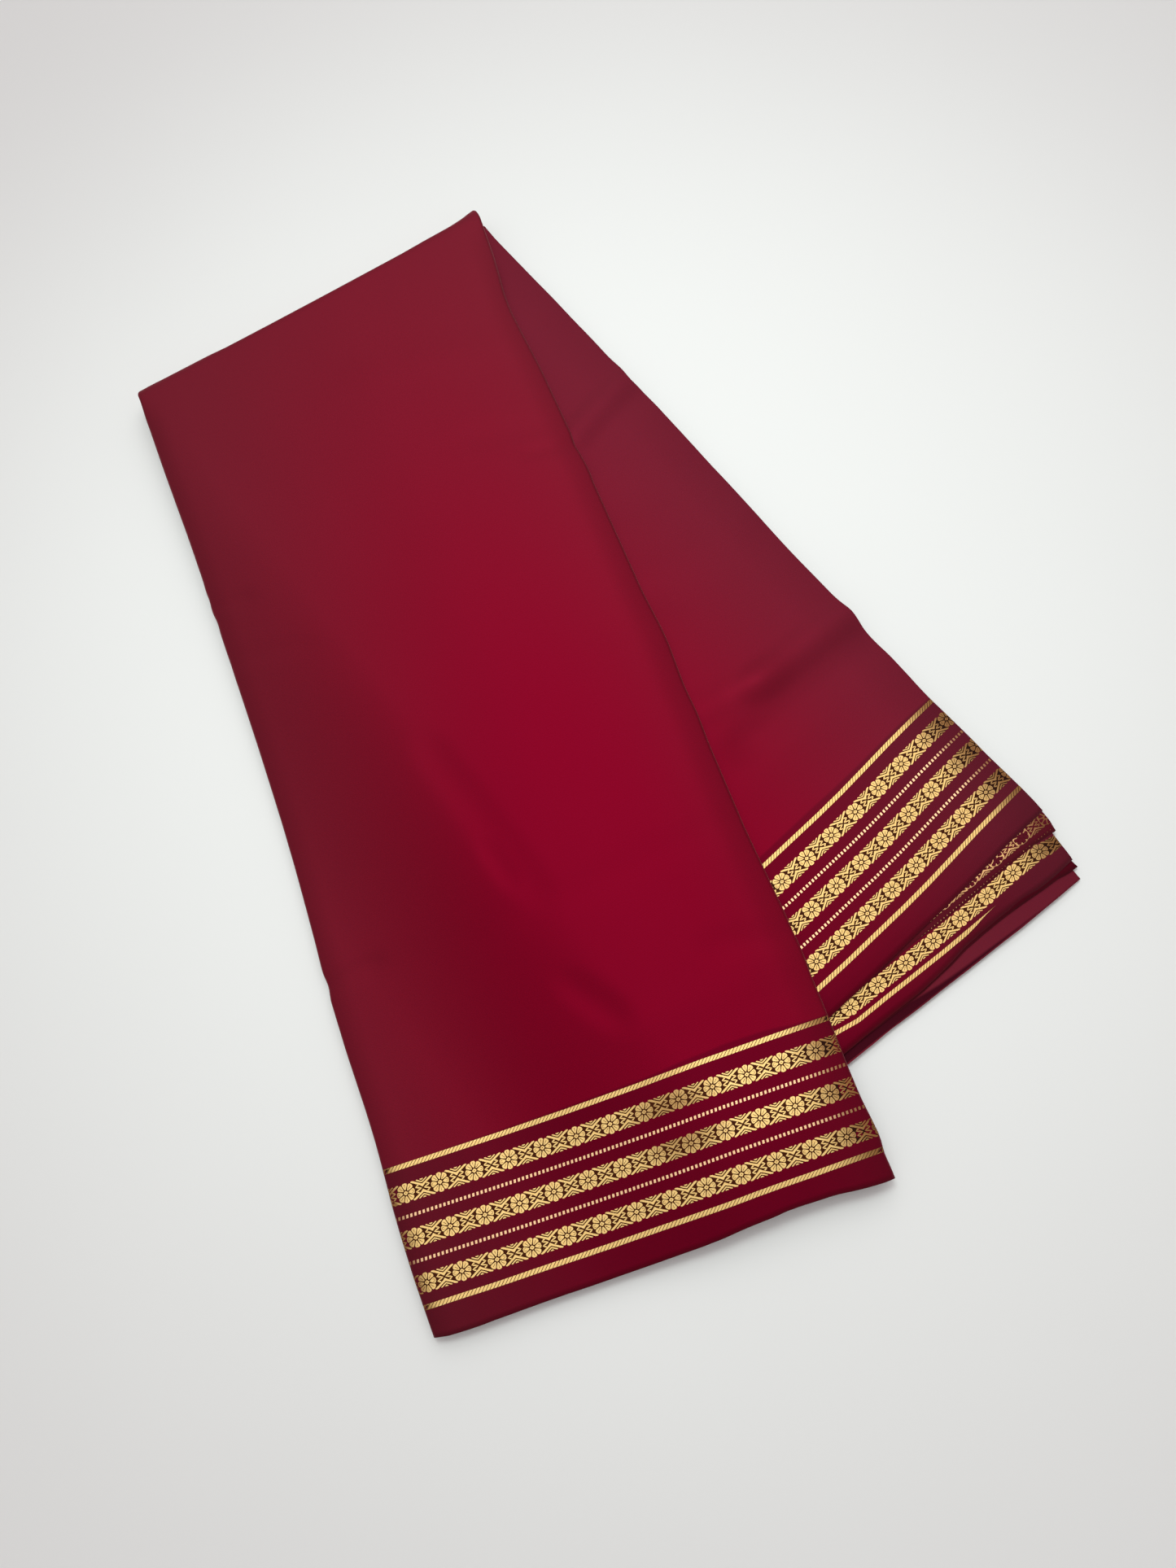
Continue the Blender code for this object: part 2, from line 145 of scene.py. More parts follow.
# Selvedge of each ply: w, s
UPPER_END = ((0.0, 579.3), (8.0, 580.9), (16.0, 581.6), (24.0, 582.0), (32.0, 582.0), (44.0, 582.4),
             (60.0, 583.2), (85.0, 584.3), (110.0, 585.3), (125.0, 585.8), (140.0, 586.2), (152.0, 586.0),
             (160.0, 585.5), (166.0, 585.3), (179.0, 585.5), (186.0, 585.2), (194.0, 585.5), (201.0, 586.0),
             (208.0, 586.4), (214.0, 587.1), (220.0, 588.3), (227.0, 589.3), (236.0, 590.2), (242.0, 590.2))
UNDER_END = ((0.0, 562.0), (85.0, 556.1), (108.0, 555.0), (146.0, 552.3), (163.0, 551.5), (181.0, 550.2),
             (199.0, 548.5), (214.0, 547.0), (229.0, 546.1), (239.0, 545.7), (242.0, 545.2))
PLY2_END = ((0.0, 556.0), (142.0, 556.4), (160.0, 557.2), (200.0, 556.6), (225.0, 556.2), (242.0, 557.6))
PLY3_END = ((0.0, 574.5), (90.0, 575.0), (110.0, 575.3), (130.0, 576.0), (141.0, 575.5), (152.0, 574.7),
            (164.0, 573.2), (176.0, 572.9), (191.0, 573.0), (204.0, 573.6), (217.0, 574.8), (228.0, 575.1),
            (242.0, 574.5))
PLY4_END = ((0.0, 574.0), (90.0, 575.4), (130.0, 576.8), (152.0, 575.7), (164.0, 574.4), (176.0, 574.2),
            (191.0, 574.4), (204.0, 575.2), (217.0, 576.4), (230.0, 577.2), (235.5, 578.6), (242.0, 579.0))

# How far the lowest ply reaches past the solid's end, and from where painted shade darkens it: w, s
LOWEST_REACH = ((100.0, 0.8), (125.0, 1.3), (150.0, 1.6), (170.0, 1.75), (205.0, 1.95), (225.0, 1.6),
                (242.0, 1.3))
LOWEST_SHADE = ((90.0, 574.6), (108.0, 575.6), (122.0, 576.4), (130.0, 577.7), (138.0, 579.0),
                (147.0, 579.8), (155.0, 580.5), (172.0, 581.4), (183.0, 582.0), (194.0, 582.8),
                (212.0, 583.6), (225.0, 586.0), (242.0, 590.0))

# Where the selvedge would be if each border lay flat: w, s
UPPER_ROWS = ((0.0, 579.5), (25.0, 581.0), (63.0, 583.3), (100.0, 585.1), (137.0, 586.5), (173.0, 587.3),
              (210.0, 588.8), (242.0, 590.3))
UNDER_ROWS = ((0.0, 559.0), (87.0, 556.0), (106.0, 555.1), (130.4, 553.5), (148.6, 552.3), (166.8, 550.7),
              (186.0, 548.5), (205.2, 546.2), (223.4, 544.4), (242.0, 542.8))
PLY2_ROWS = ((0.0, 569.3), (222.0, 569.3), (242.0, 569.8))
PLY3_ROWS = ((0.0, 573.0), (78.5, 579.6), (92.6, 582.1), (112.7, 582.4), (131.8, 583.0), (153.0, 583.5),
             (190.2, 583.6), (210.3, 583.0), (228.5, 583.3), (236.5, 585.1), (242.0, 586.0))

# The tuck in the third ply: from w to w, its line as w, s, the depth and the run of the step down past
# it, and how far in from its two ends it is full
Tuck = namedtuple("Tuck", "first last line deep run fade_in fade_out")
TUCK = Tuck(150.0, 240.0,
            ((150.0, 570.4), (163.0, 569.6), (174.0, 568.6), (184.0, 567.3), (197.0, 566.6), (208.0, 565.4),
             (219.0, 565.4), (228.0, 565.4), (236.0, 565.4)), 0.6, 1.2, 20.0, 14.0)

Stretch = namedtuple("Stretch", "along across fold_slope edges kinks")
Border = namedtuple("Border", "selvedge scale lean first_flower pitch")


def heading(degrees):
    """Unit vectors along and across a stretch that points this way."""
    angle = math.radians(degrees)
    return np.array([math.cos(angle), math.sin(angle)]), np.array([-math.sin(angle), math.cos(angle)])


FOLD_SLOPE = math.tan(math.radians(FAN_ANGLE / 2.0))
NOSE_START = NOSE_REACH / math.cos(math.radians(FAN_ANGLE / 2.0))
UPPER = Stretch(*heading(UPPER_HEADING), -FOLD_SLOPE, UPPER_EDGES, UPPER_KINKS)
UNDER = Stretch(*heading(UPPER_HEADING + FAN_ANGLE), FOLD_SLOPE, UNDER_EDGES, ())
FOLD_OUTWARD = -(UPPER.along + UNDER.along)
FOLD_OUTWARD /= np.linalg.norm(FOLD_OUTWARD)


def smooth(x):
    """Eased share, from 0 where x is 0 to 1 where it is 1."""
    x = np.clip(x, 0.0, 1.0)
    return x * x * (3.0 - 2.0 * x)


def mix(a, b, share):
    """Value a share of the way from a to b."""
    return a + (b - a) * share


def value_at(table, x):
    """Value of a table at x, straight from row to row."""
    places, values = np.array(table).T
    return np.interp(x, places, values)


def eased(table, x, reach=3.0):
    """Value of a table at x, its corners rounded over reach."""
    return sum(share * value_at(table, x + step * reach)
               for step, share in ((-1.0, 0.25), (0.0, 0.5), (1.0, 0.25)))


def fold_row(stretch, w):
    """Where a stretch leaves the nose of the big fold: s at w."""
    return stretch.fold_slope * w + NOSE_START


def wave(x, y, seed, size):
    """Gentle uneven swell from -1 to 1, with hills about size across."""
    total = 0.0
    for k in range(5):
        turn = seed * 1.7 + k * 2.4
        step = (0.7 + 0.23 * k) / size * 2.0 * math.pi
        total = total + np.sin((x * math.cos(turn) + y * math.sin(turn)) * step + seed * 3.1 + k * 1.3)
    return total / 5.0


def table_point(stretch, s, w):
    """Point on the table under (s, w)."""
    shift = [eased(table, s) for table in stretch.edges]
    for side, place, half, by in stretch.kinks:
        shift[side] = shift[side] + by * smooth(1.0 - np.abs(s - place) / half)
    t = w + mix(shift[0], shift[1], w / STRIP_WIDTH)
    return (FOLD_CORNER[0] + stretch.along[0] * s + stretch.across[0] * t,
            FOLD_CORNER[1] + stretch.along[1] * s + stretch.across[1] * t)


def creases(table, s, w):
    """Depth of the creases of a table at (s, w); each fades out slowly past its two ends."""
    depth = 0.0
    for s0, w0, s1, w1, deep, width in table:
        run_s, run_w = s1 - s0, w1 - w0
        length = math.hypot(run_s, run_w)
        along = ((s - s0) * run_s + (w - w0) * run_w) / length
        aside = np.abs((s - s0) * run_w - (w - w0) * run_s) / length
        beyond = np.maximum(0.0, np.maximum(-along, along - length))
        depth = depth + deep * smooth(1.0 - np.hypot(aside, beyond * 0.6) / width)
    return depth


def lift(x, y, slope):
    """Share of its full lift that the upper stretch has over a table point."""
    margin, run_side, run_end = slope
    dx, dy = x - FOLD_CORNER[0], y - FOLD_CORNER[1]
    s = dx * UNDER.along[0] + dy * UNDER.along[1]
    t = dx * UNDER.across[0] + dy * UNDER.across[1]
    end = mix(CORE_UNDER_END[0], CORE_UNDER_END[1], t / STRIP_WIDTH)
    off_side = np.maximum(0.0, -t - margin) / run_side
    off_end = np.maximum(0.0, s - end - margin) / run_end
    return smooth(1.0 - np.hypot(off_side, off_end))


def droop(edge, inside):
    """Drop near an edge, at a distance inside it, that steepens towards the edge."""
    deep, wide = edge
    return deep * np.maximum(0.0, 1.0 - inside / wide) ** 2


def under_relief(s, w):
    """How far the under stretch lies below its full height."""
    inside = STRIP_WIDTH - w
    deep, wide = UNDER_SOFT_BEND
    start, run = UNDER_RELIEF_START
    near_edge = deep * smooth(1.0 - inside / wide) + droop(UNDER_DROOP, inside)
    return smooth((s - start) / run) * (near_edge + creases(UNDER_CREASES, s, w))


def skins(kind, s, w):
    """Outer and inner points of the folded bundle, as in the solids: arrays of points."""
    if kind == "under":
        taper = CORE_TAPER[0] * smooth((s - CORE_TAPER[1]) / (CORE_UNDER_END[1] - CORE_TAPER[1]))
        x, y = table_point(UNDER, s, w - taper * w / STRIP_WIDTH)
        return np.stack([x, y, 0.0 * x], -1), np.stack([x, y, CORE_UNDER_TOP - under_relief(s, w)], -1)
    row = fold_row(UPPER, w)
    x, y = table_point(UPPER, np.maximum(s, row), w)
    away = smooth((s - row) / UPPER_RELIEF_RUN)
    near_edges = sum(droop(edge, inside) for edge, inside in zip(UPPER_DROOP, (w, STRIP_WIDTH - w)))
    deep, size = UPPER_SWELL
    relief = away * (creases(UPPER_CREASES, s, w) + near_edges - deep * wave(x, y, 2, size))
    top = UPPER_HEIGHT + UPPER_BASE * lift(x, y, TOP_SLOPE) - relief
    base = UPPER_BASE * lift(x, y, BASE_SLOPE)
    outer, inner = np.stack([x, y, top], -1), np.stack([x, y, base], -1)
    turned = np.clip(row - s, 0.0, math.pi * NOSE_BEND)
    angle = math.pi / 2.0 + turned / NOSE_BEND
    around = 1.0 - turned / (math.pi * NOSE_BEND)
    low = table_point(UNDER, fold_row(UNDER, w), w)
    centre = [mix(low[i], (x, y)[i], around) for i in range(2)]
    swell = eased(FOLD_PULL, w) * smooth(np.sin(np.clip(turned / NOSE_BEND, 0.0, math.pi)))
    out = -NOSE_REACH * np.cos(angle) + swell
    inner_out = -SLIT_REACH * np.cos(angle)
    on_nose = np.stack([centre[0] + FOLD_OUTWARD[0] * out, centre[1] + FOLD_OUTWARD[1] * out,
                        TOTAL_HEIGHT / 2.0 * (1.0 + np.sin(angle))], -1)
    middle, half = (CORE_UNDER_TOP + UPPER_BASE) / 2.0, (UPPER_BASE - CORE_UNDER_TOP) / 2.0
    in_slit = np.stack([centre[0] + FOLD_OUTWARD[0] * inner_out, centre[1] + FOLD_OUTWARD[1] * inner_out,
                        middle + half * np.sin(angle)], -1)
    bent = (s < row)[..., None]
    return np.where(bent, on_nose, outer), np.where(bent, in_slit, inner)


# Cloths

def rolled(w, radius):
    """Place across the strip and drop of a cloth that rolls under at both its edges."""
    place, drop = np.array(w, float), np.zeros_like(w, dtype=float)
    for at_left in (True, False):
        inside = w if at_left else STRIP_WIDTH - w
        turned = np.maximum(radius - inside, 0.0)
        angle = np.minimum(turned / radius, math.pi)
        flat = np.maximum(turned - math.pi * radius, 0.0)
        at = radius - radius * np.sin(angle) + flat
        place = np.where(turned > 0.0, at if at_left else STRIP_WIDTH - at, place)
        drop = drop + radius * (1.0 - np.cos(angle))
    return place, drop


class UpperCloth:
    """The ply seen on top: over the nose, rolled under at both long edges, out to its selvedge."""

    radius = 1.9

    # Stray of the selvedge: how far, the size of its swell, and from which s over which run it starts
    end_stray = 0.35
    stray_size = 60.0
    stray_start, stray_run = 540.0, 40.0

    def points(self, s, w):
        """Points of its right side at (s, w), where w goes on past both edges."""
        place, drop = rolled(w, self.radius)
        stray = self.end_stray * wave(place, s * 0.0, 5, self.stray_size)
        s = s + stray * smooth((s - self.stray_start) / self.stray_run)
        outer, inner = skins("upper", s, place)
        down = inner - outer
        down = down / np.linalg.norm(down, axis=-1, keepdims=True)
        return outer + down * drop[..., None]


class UnderCloth:
    """A ply of the under stretch at its own height, rolled at the right edge where it is a fold."""

    def __init__(self, level, ply):
        self.level, self.radius, self.ply = level, ply.radius, ply

    def points(self, s, w):
        """Points of its upper face at (s, w), where w goes on past both edges."""
        place, drop = rolled(w, self.radius)
        taken_in = STRIP_WIDTH - eased(self.ply.right_edge, s, 1.0)
        x, y = table_point(UNDER, s, place - taken_in * place / STRIP_WIDTH)
        deep, run = self.ply.end_drop
        fall = deep * smooth(1.0 - (value_at(self.ply.end, place) - s) / run)
        deep, size = UNDER_SWELL
        swell = deep * wave(x, y, self.ply.seed, size)
        z = self.level - under_relief(s, place) - fall + swell - drop - self.tuck_step(s, place)
        return np.stack([x, y, z], -1)

    def tuck_step(self, s, w):
        """Step down past the line of the ply's tuck, where it has one."""
        tuck = self.ply.tuck
        if tuck is None:
            return 0.0
        past = smooth((s - value_at(tuck.line, w)) / tuck.run)
        fade_in, fade_out = (w - tuck.first) / tuck.fade_in, (tuck.last - w) / tuck.fade_out
        return tuck.deep * past * smooth(fade_in) * smooth(fade_out)


def normals(cloth, s, w, step=0.25):
    """Unit normals of a cloth, away from the table where it lies flat."""
    along = cloth.points(s + step, w) - cloth.points(s - step, w)
    across = cloth.points(s, w + step) - cloth.points(s, w - step)
    normal = np.cross(along, across)
    return normal / np.linalg.norm(normal, axis=-1, keepdims=True)


def new_piece(name, points, faces, material, uv=None):
    """Mesh object at the origin from millimetre points, with smooth faces."""
    mesh = bpy.data.meshes.new(name)
    mesh.from_pydata((np.asarray(points) * MM).tolist(), [], faces)
    if uv is not None:
        layer = mesh.uv_layers.new(name="cloth")
        corner = np.zeros(len(mesh.loops), np.int32)
        mesh.loops.foreach_get("vertex_index", corner)
        layer.data.foreach_set("uv", (np.asarray(uv)[corner] * MM).astype(np.float32).ravel())
    mesh.materials.append(material)
    mesh.shade_smooth()
    made = bpy.data.objects.new(name, mesh)
    bpy.context.scene.collection.objects.link(made)
    return made


def grid_faces(rows, columns):
    """Faces of a grid of points, row after row."""
    index = np.arange(rows * columns).reshape(rows, columns)
    corners = (index[:-1, :-1], index[1:, :-1], index[1:, 1:], index[:-1, 1:])
    return np.stack(corners, -1).reshape(-1, 4).tolist()


def across_places(roll, radius, step):
    """Places across a cloth that goes on past both edges by roll, close together where it rolls under."""
    fine = radius * math.pi / 10.0
    left = np.arange(-roll, radius, fine)
    right = STRIP_WIDTH - left
    middle = np.linspace(radius, STRIP_WIDTH - radius, int(STRIP_WIDTH / step))
    return np.concatenate([left, middle, right[::-1]])


def cloth_piece(name, cloth, start, selvedge, places, rows, material, thickness):
    """Thin cloth shell from its fold row to its selvedge."""
    flat_places, _ = rolled(places, cloth.radius)
    first = start(flat_places)
    last = value_at(selvedge, flat_places)
    share = np.linspace(0.0, 1.0, rows)[:, None]
    s = first[None, :] + (last - first)[None, :] * share
    w = np.repeat(places[None, :], rows, 0)
    points = cloth.points(s, w).reshape(-1, 3)
    uv = np.stack([w, last[None, :] - s], -1).reshape(-1, 2)
    made = new_piece(name, points, grid_faces(rows, len(places)), material, uv)
    shell = made.modifiers.new("cloth", "SOLIDIFY")
    shell.thickness, shell.offset, shell.use_even_offset = thickness * MM, -1.0, True
    return made


# Border weave: its rows, measured from the selvedge, are rope lines, flower bands and dotted lines
ROPE_ROWS = (15.0, 83.6)
FLOWER_ROWS = (26.2, 48.3, 70.4)
DOT_ROWS = (37.2, 59.3)
ROW_MIDDLE = FLOWER_ROWS[1]
BORDER_DEPTH = 85.5
EDGE_STOP = 0.4
ROPE_HALF = 1.3

# Strands of a rope line are about 1.6 mm apart and dots about 1.75 mm: drawn coarser, so that they show
ROPE_PITCH = 2.05
DOT_PITCH = 2.2

# The motifs below are charted for a repeat of this length
CHART_REPEAT = 18.5


def mirrored(outline):
    """Closed outline from its right half, bottom or top first."""
    return list(outline) + [(-u, y) for u, y in reversed(outline) if abs(u) > 1e-6]


def turned_over(shapes, flip_u, flip_y):
    """Shapes mirrored where a flip is -1."""
    return [[(u * flip_u, y * flip_y) for u, y in shape] for shape in shapes]


def petal(angle, inner, outer):
    """Outline of one petal: its direction in degrees, its inner and its outer end."""
    half = [(inner, 0.0), (inner + 0.3, 12.5), (inner + 1.2, 18.4), (outer - 0.85, 20.4), (outer - 0.3, 16.5),
            (outer, 7.0)]
    both = half + [(out, -turn) for out, turn in half[:0:-1]]
    turned = [(out, math.radians(angle + turn)) for out, turn in both]
    return [(out * math.cos(turn), out * math.sin(turn)) for out, turn in turned]


# Parts of the flower and of the cross beside it: u along the selvedge, y away from it
EYE = [(1.3, 0.0), (0.72, 0.68), (0.0, 1.1), (-0.72, 0.68), (-1.3, 0.0), (-0.72, -0.68), (0.0, -1.1),
       (0.72, -0.68)]
PUPIL = [(0.36, 0.0), (0.0, 0.34), (-0.36, 0.0), (0.0, -0.34)]
OUTER_VEE = mirrored([(0.0, 0.5), (0.28, 0.66), (1.2, 1.5), (3.2, 2.66), (5.95, 4.15), (5.85, 4.6),
                      (5.2, 4.74), (4.2, 4.45), (2.2, 3.28), (0.0, 2.12)])
INNER_VEE = mirrored([(0.0, 2.62), (1.3, 3.28), (3.0, 4.3), (2.9, 4.62), (2.4, 4.7), (1.9, 4.42),
                      (1.0, 3.88), (0.0, 3.38)])
SMALL_VEE = mirrored([(0.0, 3.86), (0.6, 4.12), (1.0, 4.52), (0.5, 4.7), (0.0, 4.6)])
CURL = [(-2.1, 1.86), (-2.9, 1.62), (-3.65, 1.14), (-2.75, 0.72), (-1.7, 0.42), (-0.78, 0.0), (-1.7, -0.34),
        (-2.75, -0.66), (-3.75, -1.12), (-3.05, -1.56), (-2.2, -1.84)]
GROUND = [(-9.25, 4.3), (-3.9, 4.25), (-3.2, 3.9), (-2.3, 3.85), (-1.2, 4.1), (0.0, 4.3), (1.2, 4.1),
          (2.3, 3.85), (3.2, 3.9), (3.9, 4.25), (9.25, 4.3)]
PETALS = ((0.0, 1.5, 4.85), (45.0, 1.4, 5.0), (90.0, 1.35, 4.85), (135.0, 1.4, 5.0))


def stroke(line, width, tip=None):
    """Outline of a line drawn with a width, narrowed to tip at its far end where given."""
    points = np.array(line, float)
    ahead = np.gradient(points, axis=0)
    side = np.stack([-ahead[:, 1], ahead[:, 0]], -1) / np.linalg.norm(ahead, axis=1, keepdims=True)
    half = np.linspace(width, width if tip is None else tip, len(points))[:, None] / 2.0
    return [tuple(p) for p in points + side * half] + [tuple(p) for p in (points - side * half)[::-1]]


def gold_shapes():
    """Gold floats of one repeat: the flower, and the cross that stands between two flowers."""
    flower = [EYE]
    for angle, inner, outer in PETALS:
        flower += [petal(angle, inner, outer), petal(angle + 180.0, inner, outer)]
    cross = []
    for flip in (1, -1):
        cross += turned_over([OUTER_VEE, INNER_VEE, SMALL_VEE], 1, flip)
        cross += turned_over([stroke(CURL, 0.72)], flip, 1)
    return flower, cross


def line_shapes():
    """Thin brown lines inside the petals."""
    arc = [(3.62 + 0.62 * math.cos(a), 0.62 * math.sin(a)) for a in np.linspace(-2.4, 2.4, 9)]
    lines = [PUPIL]
    for flip in (1, -1):
        lines += turned_over([stroke([(0.0, 2.35), (0.0, 3.3), (0.0, 4.15)], 0.12, 0.4)], 1, flip)
        lines += turned_over([stroke(arc, 0.24)], flip, 1)
        for flip_y in (1, -1):
            lines += turned_over([stroke([(1.5, 1.5), (2.2, 2.2), (2.95, 2.95)], 0.3)], flip, flip_y)
    return lines


def signed_area(shape):
    """Area of an outline, above 0 where it runs anticlockwise."""
    here = np.array(shape)
    after = np.roll(here, -1, 0)
    return float((here[:, 0] * after[:, 1] - after[:, 0] * here[:, 1]).sum() / 2.0)


def plates(shapes, low, high, bevel):
    """Flat mesh of low raised plates, one for each outline: (points, faces)."""
    points, faces = [], []
    for shape in shapes:
        rim = np.array(shape if signed_area(shape) > 0 else shape[::-1], float)
        count = len(rim)
        ahead, behind = np.roll(rim, -1, 0) - rim, rim - np.roll(rim, 1, 0)
        ahead /= np.linalg.norm(ahead, axis=1, keepdims=True)
        behind /= np.linalg.norm(behind, axis=1, keepdims=True)
        inward = np.stack([-(ahead + behind)[:, 1], (ahead + behind)[:, 0]], -1)
        inward /= np.maximum(np.linalg.norm(inward, axis=1, keepdims=True), 0.5)
        start = len(points)
        points += [(u, y, low) for u, y in rim]
        points += [(u, y, high) for u, y in rim + inward * bevel]
        for k in range(count):
            after = (k + 1) % count
            faces.append((start + k, start + after, start + count + after, start + count + k))
        faces.append(tuple(range(start + count, start + 2 * count)))
    return points, faces


def repeat_tree():
    """Geometry nodes that repeat one flat motif along a border row."""
    tree = bpy.data.node_groups.new("repeat_along_row", "GeometryNodeTree")
    tree.interface.new_socket("Motif", in_out="INPUT", socket_type="NodeSocketGeometry")
    for name, kind in (("Count", "Int"), ("Start", "Vector"), ("Step", "Vector"), ("Finish", "Material")):
        tree.interface.new_socket(name, in_out="INPUT", socket_type="NodeSocket" + kind)
    tree.interface.new_socket("Row", in_out="OUTPUT", socket_type="NodeSocketGeometry")
    given = add(tree, "NodeGroupInput")
    line = add(tree, "GeometryNodeMeshLine", {"mode": "OFFSET"},
               {"Count": given.outputs["Count"], "Start Location": given.outputs["Start"],
                "Offset": given.outputs["Step"]})
    copies = add(tree, "GeometryNodeInstanceOnPoints", {},
                 {"Points": line.outputs["Mesh"], "Instance": given.outputs["Motif"]})
    real = add(tree, "GeometryNodeRealizeInstances", {}, {"Geometry": copies.outputs["Instances"]})
    finish = add(tree, "GeometryNodeSetMaterial", {},
                 {"Geometry": real.outputs["Geometry"], "Material": given.outputs["Finish"]})
    add(tree, "NodeGroupOutput", {}, {"Row": finish.outputs["Geometry"]})
    return tree


def repeated(shapes, low, high, bevel, count, start, step, material):
    """Points and faces of a flat row of repeated motifs, made by the repeat tree."""
    points, faces = plates(shapes, low, high, bevel)
    work = new_piece("motif", points, faces, material)
    repeat = work.modifiers.new("repeat", "NODES")
    repeat.node_group = REPEAT
    sockets = {item.name: item.identifier for item in REPEAT.interface.items_tree if item.in_out == "INPUT"}
    repeat[sockets["Count"]] = count
    repeat[sockets["Start"]] = tuple(value * MM for value in (*start, 0.0))
    repeat[sockets["Step"]] = tuple(value * MM for value in (*step, 0.0))
    repeat[sockets["Finish"]] = material
    graph = bpy.context.evaluated_depsgraph_get()
    mesh = bpy.data.meshes.new_from_object(work.evaluated_get(graph))
    flat = np.zeros(len(mesh.vertices) * 3, np.float32)
    mesh.vertices.foreach_get("co", flat)
    found = [tuple(face.vertices) for face in mesh.polygons]
    old = work.data
    bpy.data.objects.remove(work)
    bpy.data.meshes.remove(old)
    bpy.data.meshes.remove(mesh)
    return flat.reshape(-1, 3).astype(float) / MM, found


def joined(parts):
    """Points and faces of several parts as one."""
    points, faces, start = [], [], 0
    for some, those in parts:
        points.append(some)
        faces += [tuple(start + k for k in face) for face in those]
        start += len(some)
    return np.concatenate(points), faces


def laid(name, parts, cloth, border, material, seen_from=0.0, before=None, after=None):
    """Flat weave (u, y from the selvedge, h) laid on its cloth as one piece.

    Threads left of seen_from, and those past the lines before and after, are covered and left out.
    """
    points, faces = joined(parts)
    u, y, h = points.T
    w = u + border.lean * (y - ROW_MIDDLE)
    s = value_at(border.selvedge, np.clip(w, 0.0, STRIP_WIDTH)) - y * border.scale
    first = max(EDGE_STOP, seen_from)
    beyond = (w < first) | (w > STRIP_WIDTH - EDGE_STOP)
    w = np.clip(w, first, STRIP_WIDTH - EDGE_STOP)
    if before is not None:
        line = value_at(before, w)
        beyond |= s > line
        s = np.minimum(s, line)
    if after is not None:
        line = value_at(after, w)
        beyond |= s < line
        s = np.maximum(s, line)
    faces = [face for face in faces if not all(beyond[k] for k in face)]
    on = cloth.points(s, w) + normals(cloth, s, w) * h[:, None]
    used = sorted({k for face in faces for k in face})
    new_index = {k: n for n, k in enumerate(used)}
    faces = [tuple(new_index[k] for k in face) for face in faces]
    made = new_piece(name, on[used], faces, material, np.stack([w, y], -1)[used])
    work = bmesh.new()
    work.from_mesh(made.data)
    bmesh.ops.triangulate(work, faces=[face for face in work.faces if len(face.verts) > 4])
    work.to_mesh(made.data)
    work.free()
    made.data.shade_flat()
    return made


def add(tree, kind, settings=None, links=None):
    """One node with its settings and links; a link value is a socket or a plain value."""
    made = tree.nodes.new(kind)
    for key, value in (settings or {}).items():
        setattr(made, key, value)
    for key, value in (links or {}).items():
        socket = made.inputs[key]
        if isinstance(value, bpy.types.NodeSocket):
            tree.links.new(value, socket)
        else:
            socket.default_value = value
    return made


REPEAT = repeat_tree()


def rgb(code):
    """Linear colour from an sRGB hex code."""
    values = [int(code[k:k + 2], 16) / 255.0 for k in (1, 3, 5)]
    return tuple(v / 12.92 if v <= 0.04045 else ((v + 0.055) / 1.055) ** 2.4 for v in values) + (1.0,)


def band_scale(pitch):
    """Scale of a wave texture whose bands lie a pitch of so many millimetres apart."""
    return 2.0 * math.pi / 20.0 / (pitch * MM)


def surface(name):
    """New material with an empty node tree."""
    material = bpy.data.materials.new(name)
    material.use_nodes = True
    material.node_tree.nodes.clear()
    return material, material.node_tree


# Real crepe grain is about 0.45 mm, the weft 0.4 mm and a gilt thread 0.35 mm: all drawn coarser, so that
# they show. The grain and the wear are counted per millimetre, the threads by their pitch.
GRAIN_PER_MM = 1.1
WEFT_PITCH = 0.8
GILT_PITCH = 0.6
WEAR_PER_MM = 0.7


